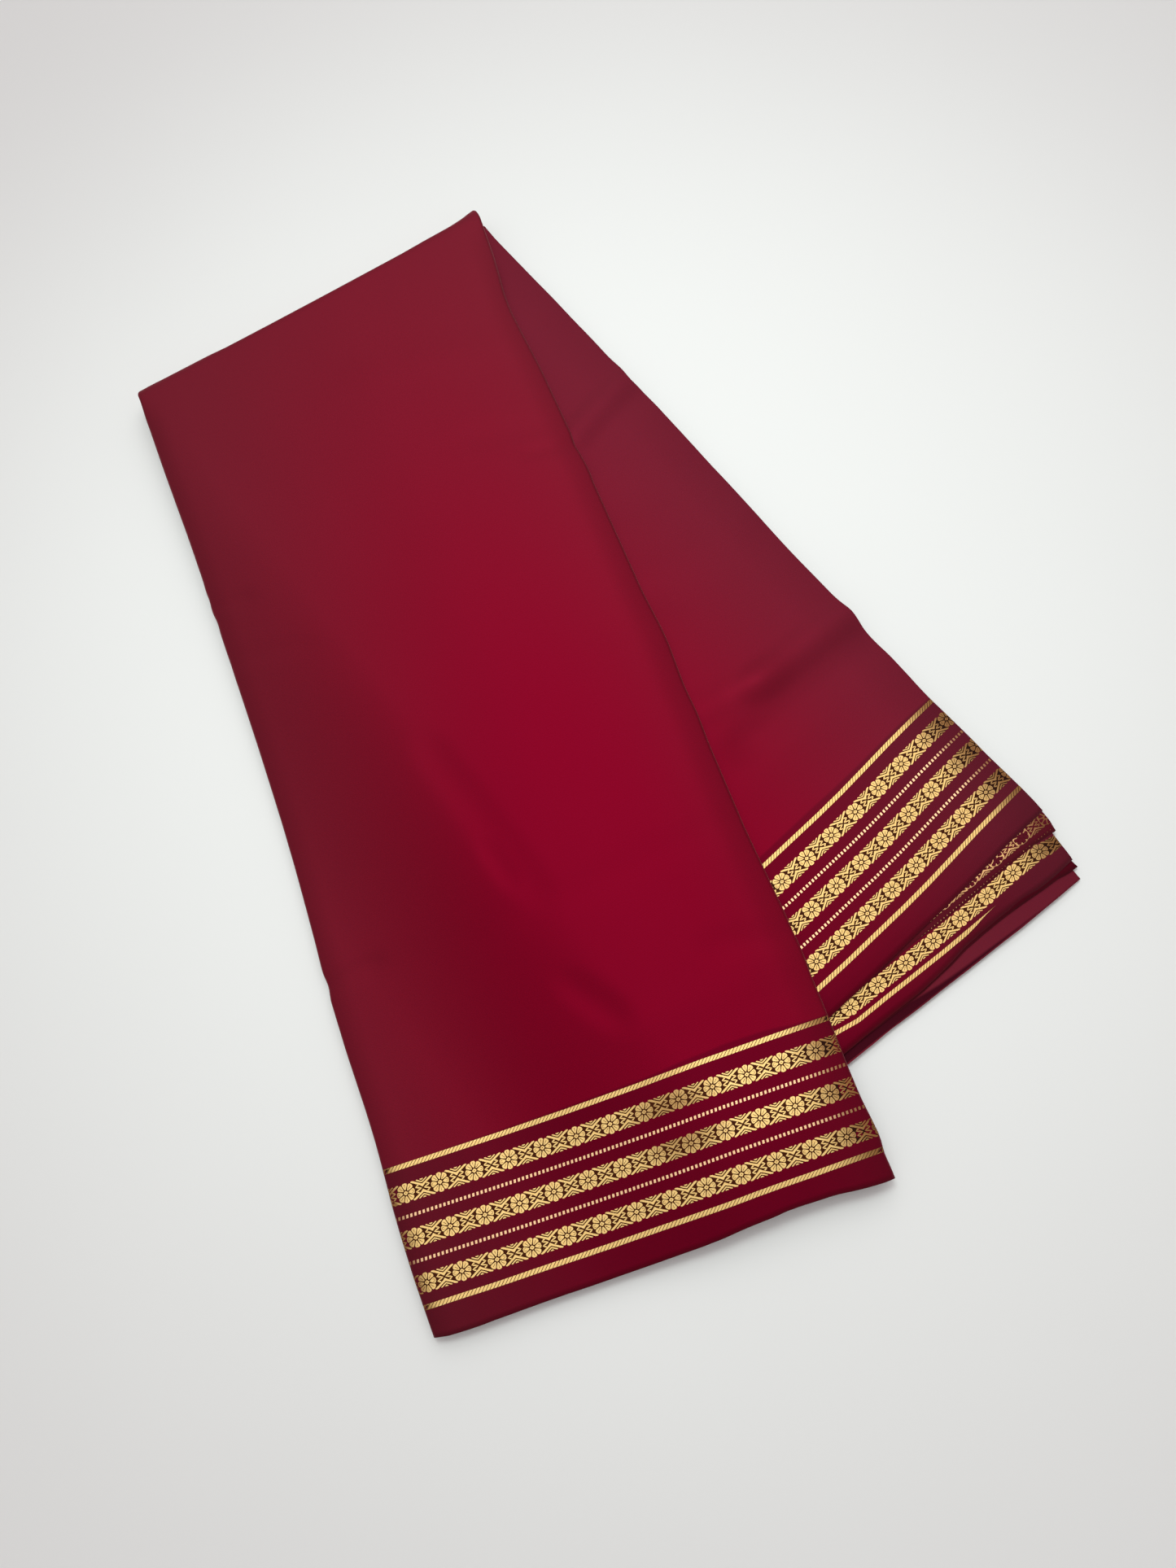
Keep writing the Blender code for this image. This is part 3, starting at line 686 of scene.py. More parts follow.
def crepe_silk(name, light, sheen_edge_colour, roughness, lustre, middle=(0.0, 0.0), reach=(0.2, 0.6), border="#FFFFFF"):
    """Woven crepe silk: uneven grain of twisted threads, a deep lustre, and painted sheen paler away from its
    middle.

    middle and reach are places on the cloth in metres, across and along it, for the painted sheen. The weft
    is tinted with the colour border from the selvedge to the last gold line, which on the inner folds paints
    shade.
    """
    material, tree = surface(name)
    place = add(tree, "ShaderNodeTexCoord")
    grain = add(tree, "ShaderNodeTexNoise", {"noise_dimensions": "3D"},
                {"Vector": place.outputs["Object"], "Scale": GRAIN_PER_MM / MM, "Detail": 2.0,
                 "Roughness": 0.6})
    weft = add(tree, "ShaderNodeTexWave", {"wave_type": "BANDS", "bands_direction": "Y"},
               {"Vector": place.outputs["UV"], "Scale": band_scale(WEFT_PITCH), "Distortion": 1.5,
                "Detail": 1.0, "Detail Scale": 2.0})
    # Painted light and sheen: paler and greyer away from the middle
    sheen_spread = add(tree, "ShaderNodeMapping", {},
                 {"Vector": place.outputs["UV"],
                  "Location": (-middle[0] / reach[0], -middle[1] / reach[1], 0.0),
                  "Scale": (1.0 / reach[0], 1.0 / reach[1], 1.0)})
    far = add(tree, "ShaderNodeVectorMath", {"operation": "LENGTH"}, {0: sheen_spread.outputs["Vector"]})
    share = add(tree, "ShaderNodeMapRange", {"interpolation_type": "SMOOTHSTEP"},
                {"Value": far.outputs["Value"], "From Min": 0.2, "From Max": 1.05})
    colour = add(tree, "ShaderNodeMix", {"data_type": "RGBA"},
                 {0: share.outputs["Result"], 6: rgb(light), 7: rgb(sheen_edge_colour)})
    speck = add(tree, "ShaderNodeMix", {"data_type": "RGBA", "blend_type": "MULTIPLY"},
                {0: 0.22, 6: colour.outputs[2], 7: grain.outputs["Color"]})
    rough = add(tree, "ShaderNodeMapRange", {},
                {"Value": grain.outputs["Fac"], "To Min": roughness - 0.05, "To Max": roughness + 0.06})
    split = add(tree, "ShaderNodeSeparateXYZ", {}, {"Vector": place.outputs["UV"]})
    # The border's own darker weave; on the inner folds the same mask paints shade past the shade line
    border_tint_and_shade_mask = add(tree, "ShaderNodeMapRange", {},
                    {"Value": split.outputs["Y"], "From Min": (BORDER_DEPTH + 0.7) * MM,
                     "From Max": (BORDER_DEPTH - 0.7) * MM})
    border_tint_and_shade = add(tree, "ShaderNodeMix", {"data_type": "RGBA", "blend_type": "MULTIPLY"},
                {0: border_tint_and_shade_mask.outputs["Result"], 6: speck.outputs[2], 7: rgb(border)})
    high = add(tree, "ShaderNodeMath", {"operation": "ADD"},
               {0: grain.outputs["Fac"], 1: weft.outputs["Fac"]})
    bump = add(tree, "ShaderNodeBump", {},
               {"Height": high.outputs[0], "Strength": 0.22, "Distance": 0.08 * MM})
    along = add(tree, "ShaderNodeTangent", {"direction_type": "UV_MAP", "uv_map": "cloth"})
    shader = add(tree, "ShaderNodeBsdfPrincipled", {},
                 {"Base Color": border_tint_and_shade.outputs[2], "Roughness": rough.outputs["Result"],
                  "Normal": bump.outputs["Normal"], "Metallic": lustre, "Specular IOR Level": 0.0,
                  "Anisotropic": 0.6, "Anisotropic Rotation": 0.25, "Tangent": along.outputs["Tangent"],
                  "Sheen Weight": 0.2, "Sheen Roughness": 0.4, "Sheen Tint": rgb("#F0B0B4")})
    add(tree, "ShaderNodeOutputMaterial", {}, {"Surface": shader.outputs["BSDF"]})
    return material


# Where painted shade dulls the gold: the rows' ends where they turn down over the folded edges, and one
# dim place, across the cloth and from its selvedge, with the distances where the dulling starts and is full
ROW_END_LEFT = (9.0, 0.0)
ROW_END_RIGHT = (210.0, 240.0)
DIM_PATCH_PLACE = (152.0, 62.0)
DIM_PATCH_REACH = (34.0, 6.0)


def zari(name, bright, deep, roughness, metallic=1.0, shine=0.5, patch_dimming=0.0):
    """Zari: gilt thread rolled flat round a yellow silk core, so a soft brushed shine across each float.

    The last argument is how far painted shade dulls it at one dim place.
    """
    material, tree = surface(name)
    place = add(tree, "ShaderNodeTexCoord")
    thread = add(tree, "ShaderNodeTexWave", {"wave_type": "BANDS", "bands_direction": "Y"},
                 {"Vector": place.outputs["UV"], "Scale": band_scale(GILT_PITCH), "Distortion": 0.6,
                  "Detail": 1.0, "Detail Scale": 3.0})
    worn = add(tree, "ShaderNodeTexNoise", {},
               {"Vector": place.outputs["UV"], "Scale": WEAR_PER_MM / MM, "Detail": 2.0})
    colour = add(tree, "ShaderNodeMix", {"data_type": "RGBA"},
                 {0: worn.outputs["Fac"], 6: rgb(deep), 7: rgb(bright)})
    # Painted shade: duller where the rows turn down over the folded edges, and in one dim place
    split = add(tree, "ShaderNodeSeparateXYZ", {}, {"Vector": place.outputs["UV"]})
    right = add(tree, "ShaderNodeMapRange", {"interpolation_type": "SMOOTHSTEP"},
                {"Value": split.outputs["X"], "From Min": ROW_END_RIGHT[0] * MM,
                 "From Max": ROW_END_RIGHT[1] * MM})
    left = add(tree, "ShaderNodeMapRange", {"interpolation_type": "SMOOTHSTEP"},
               {"Value": split.outputs["X"], "From Min": ROW_END_LEFT[0] * MM,
                "From Max": ROW_END_LEFT[1] * MM})
    patch = add(tree, "ShaderNodeVectorMath", {"operation": "DISTANCE"},
                {0: place.outputs["UV"], 1: tuple(value * MM for value in (*DIM_PATCH_PLACE, 0.0))})
    dim_patch_shade = add(tree, "ShaderNodeMapRange", {"interpolation_type": "SMOOTHSTEP"},
                 {"Value": patch.outputs["Value"], "From Min": DIM_PATCH_REACH[0] * MM,
                  "From Max": DIM_PATCH_REACH[1] * MM, "To Max": patch_dimming})
    ends = add(tree, "ShaderNodeMath", {"operation": "MAXIMUM"},
               {0: right.outputs["Result"], 1: left.outputs["Result"]})
    painted_dulling = add(tree, "ShaderNodeMath", {"operation": "MAXIMUM"},
               {0: ends.outputs[0], 1: dim_patch_shade.outputs["Result"]})
    # Painted shade: the gold is multiplied towards dull brown by the larger of the two
    gilt = add(tree, "ShaderNodeMix", {"data_type": "RGBA", "blend_type": "MULTIPLY"},
               {0: painted_dulling.outputs[0], 6: colour.outputs[2], 7: rgb("#967A62")})
    bump = add(tree, "ShaderNodeBump", {},
               {"Height": thread.outputs["Fac"], "Strength": 0.25, "Distance": 0.06 * MM})
    shader = add(tree, "ShaderNodeBsdfPrincipled", {},
                 {"Base Color": gilt.outputs[2], "Metallic": metallic, "Roughness": roughness,
                  "Specular IOR Level": shine, "Normal": bump.outputs["Normal"]})
    add(tree, "ShaderNodeOutputMaterial", {}, {"Surface": shader.outputs["BSDF"]})
    return material


# Right side of the silk, dyed in the yarn: wine red, with painted light and sheen that make it crimson in
# its middle and greyer towards its edges
MAROON = crepe_silk("maroon_crepe_silk", "#7D0522", "#761F2E", 0.5, 0.35, (0.155, 0.12), (0.2, 0.6),
                    "#DAF4EA")
# The same silk on the under stretch, a copy with its own painted light and sheen: deepest nearer to its
# hidden left edge, greyer away from it
UNDER_MAROON_PAINTED_SHEEN = crepe_silk("maroon_crepe_silk_under_painted_sheen", "#7E0723", "#742031", 0.5, 0.35, (0.06, 0.1), (0.2, 0.5),
                          "#DAF4EA")
# Wrong side of the border, where bound threads lie loose: duller and browner, with little lustre, and
# darkened further as painted shade beside the top ply's edge
WRONG_SIDE = crepe_silk("maroon_silk_wrong_side", "#6A1C29", "#601825", 0.55, 0.2)
# The slipped corner of the fourth ply, crushed: the most matt silk, and the darkest, as painted shade
SHADED = crepe_silk("maroon_silk_shaded_fold", "#5C101F", "#520C1B", 0.65, 0.1)
# Folds of the hidden plies seen on edge: matt, a little paler with painted sheen, and darkened with
# painted shade past the shade line
HIDDEN = crepe_silk("maroon_silk_inner_folds", "#7C2534", "#702030", 0.6, 0.15, border="#978B9E")
# Upper border's gilt floats, with painted shade in one place: warm pale gold that glints along the thread
GOLD = zari("gilt_zari_thread", "#FFE09A", "#EEB866", 0.48, 0.5, patch_dimming=0.75)
# The same floats on the under stretch, turned away from the lamp: a deeper, quieter gold of painted shade
UNDER_GOLD_PAINTED_SHADE = zari("gilt_zari_thread_under_painted_shade", "#F0CE8A", "#DEA85A", 0.48, 0.5)
# Gold bound down by silk on the wrong side: coppery, as red shows between the threads
WORN_GOLD = zari("zari_bound_under_silk", "#EDBB80", "#CC9460", 0.48, 0.5)
# Binding threads inside the petals: brown lines that break the gold into petals
DULL_GOLD = zari("gilt_zari_petal_veins", "#7E4E1C", "#5E360E", 0.55, 0.3)
# Single short floats of the dotted lines: pale pinkish gold, as each is narrower than its gap
PALE_GOLD = zari("pale_zari_dots", "#FFD4A6", "#F4C092", 0.48, 0.5)
# Brown cotton-like ground weave under the floats: matt, so that it reads as shadow between them
BROWN = zari("brown_ground_weave", "#4A1C00", "#381200", 0.7, 0.0, 0.1)


# Pieces of cloth: how far they go on past a folded edge, rolled under, and how thick they are
UPPER_ROLL = 5.6
UNDER_ROLL = 2.4
UPPER_THICKNESS = 0.45
UNDER_THICKNESS = 0.4

# Their grids: rows along the cloth, and the step across it
UPPER_GRID = (206, 3.0)
UNDER_GRID = (170, 4.0)

# How far round the nose the upper cloth reaches, in radians
NOSE_TURN = 2.75

# Plies of the under stretch from the top one down: right_edge is s, w and end_drop is depth, run
UnderPly = namedtuple("UnderPly", "piece node slot radius right_edge end_drop seed end tuck")
UNDER_PLIES = (
    UnderPly("under_cloth", "under_stretch", "maroon_silk", 0.5,
             ((0.0, 241.6), (500.0, 241.6), (600.0, 240.8)), (0.8, 7.0), 3, UNDER_END, None),
    UnderPly("under_cloth_2", "under_ply_2", "wrong_side_silk", 0.4,
             ((0.0, 241.0), (500.0, 241.0), (546.0, 240.8), (551.0, 240.3), (557.4, 239.2), (600.0, 236.0)),
             (1.5, 6.5), 4, PLY2_END, None),
    UnderPly("under_cloth_3", "under_ply_3", "maroon_silk", 0.4,
             ((0.0, 240.4), (500.0, 240.4), (552.0, 237.4), (558.0, 236.7), (565.0, 235.8), (574.3, 234.9),
              (600.0, 232.0)), (0.9, 5.0), 6, PLY3_END, TUCK),
    UnderPly("under_cloth_4", "under_ply_4", "hidden_silk", 0.4,
             ((0.0, 239.8), (500.0, 239.8), (565.0, 234.0), (574.0, 233.9), (578.6, 234.5), (600.0, 234.5)),
             (0.5, 4.0), 8, PLY4_END, None),
)

UPPER_CLOTH = UpperCloth()
UNDER_CLOTHS = [UnderCloth(UNDER_HEIGHT - level * PLY_STEP, ply) for level, ply in enumerate(UNDER_PLIES)]


def upper_start(w):
    """Where the upper cloth starts, round the nose: s at w."""
    return fold_row(UPPER, w) - NOSE_TURN * NOSE_BEND


def under_start(w):
    """Where the plies of the under stretch start: s at w."""
    return fold_row(UNDER, w)


def make_cloths():
    """The upper cloth and the four plies of the under stretch, by name."""
    rows, step = UPPER_GRID
    places = across_places(UPPER_ROLL, UPPER_CLOTH.radius, step)
    upper = cloth_piece("upper_cloth", UPPER_CLOTH, upper_start, UPPER_END, places, rows, MAROON,
                        UPPER_THICKNESS)
    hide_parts("upper_stretch")
    made = {"upper_cloth": upper}
    finishes = {"maroon_silk": UNDER_MAROON_PAINTED_SHEEN, "wrong_side_silk": WRONG_SIDE, "hidden_silk": SHADED}
    rows, step = UNDER_GRID
    for cloth in UNDER_CLOTHS:
        ply = cloth.ply
        places = across_places(UNDER_ROLL, cloth.radius, step)
        piece = cloth_piece(ply.piece, cloth, under_start, ply.end, places, rows, finishes[ply.slot],
                            UNDER_THICKNESS)
        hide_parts(ply.node)
        made[ply.piece] = piece
    return made


# Inner layers: the edge is layered in lips, each rounded in steps of share and inset
LIPS = 10
FIRST_LIP = 0.18
LIP_STEPS = ((0.0, 1.55), (0.16, 0.55), (0.36, 0.12), (0.64, 0.12), (0.84, 0.55))
INNER_COLUMNS = 24
UPPER_END_RECESS = 1.4

# How far the inner layers keep clear of the cloth on the nose, and the turn over which that starts
NOSE_CLEARANCE = 0.75
CLEARANCE_TURN = 0.5

# Levels above the lips and below them, the inset that every lip adds to its steps, and the least of all
Level = namedtuple("Level", "share inset lip")
TOP_LEVELS = [Level(0.0, 5.2, 0), Level(0.17, 4.8, 0), Level(FIRST_LIP, 2.0, 0)]
BOTTOM_LEVEL = Level(1.0, 1.9, LIPS)
LIP_INSET = 0.45
LEAST_INSET = 0.3

# Rows of points: at the end of the under stretch, where they lie closer up to this share of it, on the
# rest of it, on the nose and on the upper stretch
NEAR_END = 0.985
ROW_COUNTS = (13, 128, 22, 150)

# Uneven lips: length that a row and a column count as, and then for each swell how far the lips stray,
# its size, its step from lip to lip, and its seed
RING_STEPS = (4.0, 9.0)
LIP_STRAY = ((0.45, 150.0, 31.0, 3), (0.22, 42.0, 17.0, 9))

# How far a lip is set back at the ends, every third one further, and the slant of the under end
LIP_BACK = 0.3
THIRD_LIP_BACK = 1.2
UNDER_END_SLANT = 1.7

# How far the right corner of the lowest ply draws in: distance, from s over a run, from w over a run
CORNER_PULL = (2.6, 556.0, 20.0, 120.0, 120.0)

# How much further out the painted shade starts on the lips: on all of them, and more down to the lowest one
LIP_LIGHT = (4.0, 6.0)

# What the big fold counts as along the cloth: far past the border, where no painted shade falls
FOLD_ALONG = 665.0


def lip_levels():
    """Levels of the layered edge, from under the upper cloth down."""
    levels = list(TOP_LEVELS)
    for lip in range(LIPS):
        for step, inset in LIP_STEPS[1 if lip == 0 else 0:]:
            share = FIRST_LIP + (1.0 - FIRST_LIP) * (lip + step) / LIPS
            levels.append(Level(share, LIP_INSET + inset, lip + 1))
    return levels + [BOTTOM_LEVEL]


def inner_rows():
    """Rows from the end of the under stretch over the nose to the end of the upper one."""
    at_end, on_under, on_nose, on_upper = ROW_COUNTS
    near_end, on_ply = np.linspace(1.0, NEAR_END, at_end)[:-1], np.linspace(NEAR_END, 0.0, on_under)
    rows = [("under", share) for share in np.concatenate([near_end, on_ply])]
    rows += [("nose", bend) for bend in np.linspace(math.pi, 0.0, on_nose)[1:-1]]
    return rows + [("upper", share) for share in np.linspace(0.0, 1.0, on_upper)]


def core_points(kind, s, w, share):
    """Points a share of the way from the outer to the inner skin, clear of the cloth on the nose."""
    outer, inner = skins(kind, s, w)
    if kind == "upper":
        turned = np.clip(fold_row(UPPER, w) - s, 0.0, math.pi * NOSE_BEND) / NOSE_BEND
        cover = NOSE_CLEARANCE * smooth((math.pi - turned) / CLEARANCE_TURN)
        way = inner - outer
        outer = outer + way / np.linalg.norm(way, axis=-1, keepdims=True) * cover[..., None]
    return mix(outer, inner, share)


def row_points(row, w, share, back):
    """Points of a row, and where they lie along the cloth.

    The lowest ply gets painted shade past a line, which counts as the end of its border.
    """
    kind, value = row
    if kind == "under":
        end = mix(*CORE_UNDER_END, w / STRIP_WIDTH) + value_at(LOWEST_REACH, w)
        s = mix(fold_row(UNDER, w), end - back, value)
        along = BORDER_DEPTH + value_at(LOWEST_SHADE, w) - s
        most, s_from, s_run, w_from, w_run = CORNER_PULL
        w = w - most * smooth((s - s_from) / s_run) * smooth((w - w_from) / w_run)
        return core_points("under", s, w, share), along
    first = fold_row(UPPER, w)
    if kind == "nose":
        return core_points("upper", first - value * NOSE_BEND, w, share), FOLD_ALONG + 0.0 * w
    s = mix(first, value_at(UPPER_END, w) - UPPER_END_RECESS - back, value)
    return core_points("upper", s, w, share), FOLD_ALONG + s


def lip_inset(level, i, j):
    """Inset of a lip at a place on the ring, never quite the same."""
    spot = np.array(i * RING_STEPS[0] + j * RING_STEPS[1])
    stray = sum(far * float(wave(spot, np.array(level.lip * step), level.lip + seed, size))
                for far, size, step, seed in LIP_STRAY)
    return max(level.inset + stray, LEAST_INSET)


def make_inner_layers():
    """Hidden plies of both stretches and the fold: one solid, layered all round its edge."""
    levels, rows, columns = lip_levels(), inner_rows(), INNER_COLUMNS
    last = len(rows) - 1
    inner_w = np.linspace(levels[0].inset, STRIP_WIDTH - levels[0].inset, columns + 1)
    ring = [(0, j) for j in range(columns + 1)] + [(i, columns) for i in range(1, last)]
    ring += [(last, j) for j in range(columns, -1, -1)] + [(i, 0) for i in range(last - 1, 0, -1)]
    points, places, index = [], [], {}
    for depth in (0, len(levels) - 1):
        share, inset, _ = levels[depth]
        w = inner_w.copy()
        w[0], w[-1] = inset, STRIP_WIDTH - inset
        for i, row in enumerate(rows):
            found, along = row_points(row, w, share, inset)
            for j in range(columns + 1):
                index[depth, i, j] = len(points)
                points.append(found[j])
                places.append((w[j], along[j]))
    for depth in range(1, len(levels) - 1):
        level = levels[depth]
        lighter = (LIP_LIGHT[0] + LIP_LIGHT[1] * level.share) * (level.lip > 0)
        for i, j in ring:
            here = lip_inset(level, i, j)
            w = {0: here, columns: STRIP_WIDTH - here}.get(j, inner_w[j])
            back = here + (THIRD_LIP_BACK if level.lip % 3 == 1 else LIP_BACK)
            if rows[i][0] == "under":
                back += UNDER_END_SLANT * (1.0 - level.share)
            found, along = row_points(rows[i], np.array(w), level.share, back)
            index[depth, i, j] = len(points)
            points.append(found)
            places.append((w, along + lighter))
    faces = []
    for depth in (0, len(levels) - 1):
        for i in range(last):
            for j in range(columns):
                faces.append((index[depth, i, j], index[depth, i, j + 1], index[depth, i + 1, j + 1],
                              index[depth, i + 1, j]))
    for here, after in zip(ring, ring[1:] + ring[:1]):
        for depth in range(len(levels) - 1):
            faces.append((index[(depth, *here)], index[(depth, *after)], index[(depth + 1, *after)],
                          index[(depth + 1, *here)]))
    made = new_piece("inner_layers", np.array(points), faces, HIDDEN, np.array(places, float))
    work = bmesh.new()
    work.from_mesh(made.data)
    bmesh.ops.recalc_face_normals(work, faces=work.faces)
    work.to_mesh(made.data)
    work.free()
    made.data.set_sharp_from_angle(angle=math.radians(60.0))
    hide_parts("inner_plies")
    return made


# Gold: how far the floats, the ground, the petal lines and the dots rise from the cloth
FLOAT_RISE = 0.17
FLOAT_BEVEL = 0.07
GROUND_RISE = 0.05
LINE_RISE = (0.1, 0.2)
LINE_BEVEL = 0.02
ROPE_LOW = 0.02
DOT_RISE = 0.16

# Wrong side: low, high and bevel of its net, its crosses and its silk petals, how much smaller the last
# two are than on the right side, and the rise and the size of its specks
NET = (0.0, 0.1, 0.05)
NET_CROSS = (0.0, 0.14, 0.1)
SILK_PETAL = (0.06, 0.2, 0.1)
CROSS_SHRINK = 0.92
PETAL_SHRINK = 0.88
SPECK = (0.12, 0.42)

# Small pieces of brown ground under a rope line lie side by side
ROPE_BASE_PITCH = 1.6

# Each border: its rows, scale away from the selvedge, lean, middle of its first flower, and repeat
UPPER_BORDER = Border(UPPER_ROWS, 1.0, 0.066, 7.9, 18.32)
UNDER_BORDER = Border(UNDER_ROWS, 0.965, -0.095, 223.05 - 12 * 18.74, 18.74)
PLY2_BORDER = Border(PLY2_ROWS, 0.8, 0.0, 222.7 - 12 * 18.6, 18.6)
PLY3_BORDER = Border(PLY3_ROWS, 0.88, 0.0, 209.65 - 11 * 19.33, 19.33)


def flower_rows(border, rows, material, shapes, low, high, bevel, offset):
    """Flower bands of one kind of shape, stretched to the border's own repeat."""
    count = int(STRIP_WIDTH / border.pitch) + 4
    scale = border.pitch / CHART_REPEAT
    wide = [[(u * scale, y) for u, y in shape] for shape in shapes]
    start = border.first_flower - border.pitch + offset
    return [repeated(wide, low, high, bevel, count, (start, row), (border.pitch, 0.0), material)
            for row in rows]


def rope_parts(rows, material):
    """Rope lines: slanted gold floats side by side."""
    slant = [(-2.1, -ROPE_HALF), (-0.38, -ROPE_HALF), (2.1, ROPE_HALF), (0.38, ROPE_HALF)]
    count = int(STRIP_WIDTH / ROPE_PITCH) + 4
    return [repeated([slant], ROPE_LOW, FLOAT_RISE, FLOAT_BEVEL, count, (-2.0, row), (ROPE_PITCH, 0.0),
                     material) for row in rows]


def rope_base(rows, material):
    """Ground under the rope lines."""
    half = ROPE_BASE_PITCH / 2.0
    piece = [(-half, -ROPE_HALF), (half, -ROPE_HALF), (half, ROPE_HALF), (-half, ROPE_HALF)]
    count = int(STRIP_WIDTH / ROPE_BASE_PITCH) + 3
    return [repeated([piece], 0.0, GROUND_RISE, 0.0, count, (-1.0, row), (ROPE_BASE_PITCH, 0.0), material)
            for row in rows]


def dot_parts(rows, material, high, size=1.0):
    """Dotted lines: short floats, a little slanted."""
    dot = [(-0.7, -0.84), (0.5, -0.84), (0.62, 0.0), (0.7, 0.84), (-0.5, 0.84), (-0.62, 0.0)]
    dot = [(u * size, y * size) for u, y in dot]
    count = int(STRIP_WIDTH / DOT_PITCH) + 2
    return [repeated([dot], 0.0, high, FLOAT_BEVEL, count, (-0.5, row), (DOT_PITCH, 0.0), material)
            for row in rows]


def make_border(prefix, cloth, border, gilt, flower_at, rope_at, dot_at, **cover):
    """Gold floats, their brown ground, the thin petal lines and the dots of one border."""
    flower, cross = gold_shapes()
    half = border.pitch / 2.0
    ground = [list(GROUND) + [(-u, -y) for u, y in GROUND]]
    gold = flower_rows(border, flower_at, gilt, flower, 0.0, FLOAT_RISE, FLOAT_BEVEL, 0.0)
    gold += flower_rows(border, flower_at, gilt, cross, 0.0, FLOAT_RISE, FLOAT_BEVEL, half)
    gold += rope_parts(rope_at, gilt)
    pieces = [laid(prefix + "_gold", gold, cloth, border, gilt, **cover)]
    under = flower_rows(border, flower_at, BROWN, ground, 0.0, GROUND_RISE, 0.0, 0.0)
    under += rope_base(rope_at, BROWN)
    pieces.append(laid(prefix + "_brown_ground", under, cloth, border, BROWN, **cover))
    lines = flower_rows(border, flower_at, DULL_GOLD, line_shapes(), *LINE_RISE, LINE_BEVEL, 0.0)
    pieces.append(laid(prefix + "_petal_lines", lines, cloth, border, DULL_GOLD, **cover))
    if dot_at:
        dots = dot_parts(dot_at, PALE_GOLD, DOT_RISE)
        pieces.append(laid(prefix + "_dots", dots, cloth, border, PALE_GOLD, **cover))
    return pieces


def shrunk(shapes, share):
    """Each outline made smaller about its own middle."""
    found = []
    for shape in shapes:
        corners = np.array(shape)
        middle = corners.mean(0)
        found.append([tuple(corner) for corner in middle + (corners - middle) * share])
    return found


def make_wrong_side(prefix, cloth, border, flower_at, dot_at, **cover):
    """The border from its wrong side: a net of bound gold round silk petals, and a row of specks."""
    flower, cross = gold_shapes()
    edge = [(5.0, 0.0), (4.9, 2.6), (4.3, 3.9), (2.2, 4.2), (1.6, 4.75), (0.0, 4.8)]
    disc = mirrored(edge[::-1] + [(u, -y) for u, y in edge[1:]])
    half = border.pitch / 2.0
    net = flower_rows(border, flower_at, WORN_GOLD, [disc], *NET, 0.0)
    net += flower_rows(border, flower_at, WORN_GOLD, shrunk(cross, CROSS_SHRINK), *NET_CROSS, half)
    net += dot_parts(dot_at, WORN_GOLD, *SPECK)
    silk = flower_rows(border, flower_at, WRONG_SIDE, shrunk(flower, PETAL_SHRINK), *SILK_PETAL, 0.0)
    return [laid(prefix + "_gold_net", net, cloth, border, WORN_GOLD, **cover),
            laid(prefix + "_silk_petals", silk, cloth, border, WRONG_SIDE, **cover)]


# Rows of the borders that show only in part, from the selvedge, and w from where each border shows
PLY2_SPECK_ROWS = (18.0,)
PLY3_ROPE_ROWS = (17.6,)
SEEN_FROM = 64.0
PLY2_SEEN_FROM = 112.0

# How far under the selvedge of the top ply the weave of the second one starts
PLY2_COVERED = 1.2

# Build
cloths = make_cloths()
inner = make_inner_layers()
upper_gold = make_border("upper", UPPER_CLOTH, UPPER_BORDER, GOLD, FLOWER_ROWS, ROPE_ROWS, DOT_ROWS)
under_gold = make_border("under", UNDER_CLOTHS[0], UNDER_BORDER, UNDER_GOLD_PAINTED_SHADE, FLOWER_ROWS, ROPE_ROWS,
                         DOT_ROWS, seen_from=SEEN_FROM)
ply2_gold = make_wrong_side("second_ply", UNDER_CLOTHS[1], PLY2_BORDER, FLOWER_ROWS[:1], PLY2_SPECK_ROWS,
                            seen_from=PLY2_SEEN_FROM, after=[(w, s - PLY2_COVERED) for w, s in UNDER_END])
ply3_gold = make_border("third_ply", UNDER_CLOTHS[2], PLY3_BORDER, UNDER_GOLD_PAINTED_SHADE, FLOWER_ROWS[:1],
                        PLY3_ROPE_ROWS, (), seen_from=SEEN_FROM, before=TUCK.line)

for piece in [*cloths.values(), inner, *upper_gold, *under_gold, *ply2_gold, *ply3_gold]:
    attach(piece, "root")

# Table, light and camera
FLOOR_HALF = 6000.0

# The phone's camera as worked out from the photo: its place in millimetres, where it looks, and its
# focal length and the photo's height in pixels
CAMERA_PLACE = (61.63, -216.07, 638.39)
CAMERA_AHEAD = Vector((-0.07757, 0.25855, -0.96288))
CAMERA_UP = Vector((0.01022, 0.96594, 0.25855))
FOCAL_PIXELS = 1450.0
PHOTO_HEIGHT = 1927.0
SENSOR_WIDTH = 36.0


def make_floor():
    """Matt white table top."""
    material, tree = surface("matt_white_table")
    place = add(tree, "ShaderNodeTexCoord")
    soft = add(tree, "ShaderNodeTexNoise", {},
               {"Vector": place.outputs["Object"], "Scale": 3.0, "Detail": 2.0})
    colour = add(tree, "ShaderNodeMix", {"data_type": "RGBA"},
                 {0: soft.outputs["Fac"], 6: rgb("#ECEBEC"), 7: rgb("#F0EFF0")})
    shader = add(tree, "ShaderNodeBsdfPrincipled", {}, {"Base Color": colour.outputs[2], "Roughness": 0.6,
                                                        "Specular IOR Level": 0.3})
    add(tree, "ShaderNodeOutputMaterial", {}, {"Surface": shader.outputs["BSDF"]})
    half = FLOOR_HALF
    points = [(-half, -half, 0.0), (half, -half, 0.0), (half, half, 0.0), (-half, half, 0.0)]
    floor = new_piece("table_top", points, [(0, 1, 2, 3)], material)


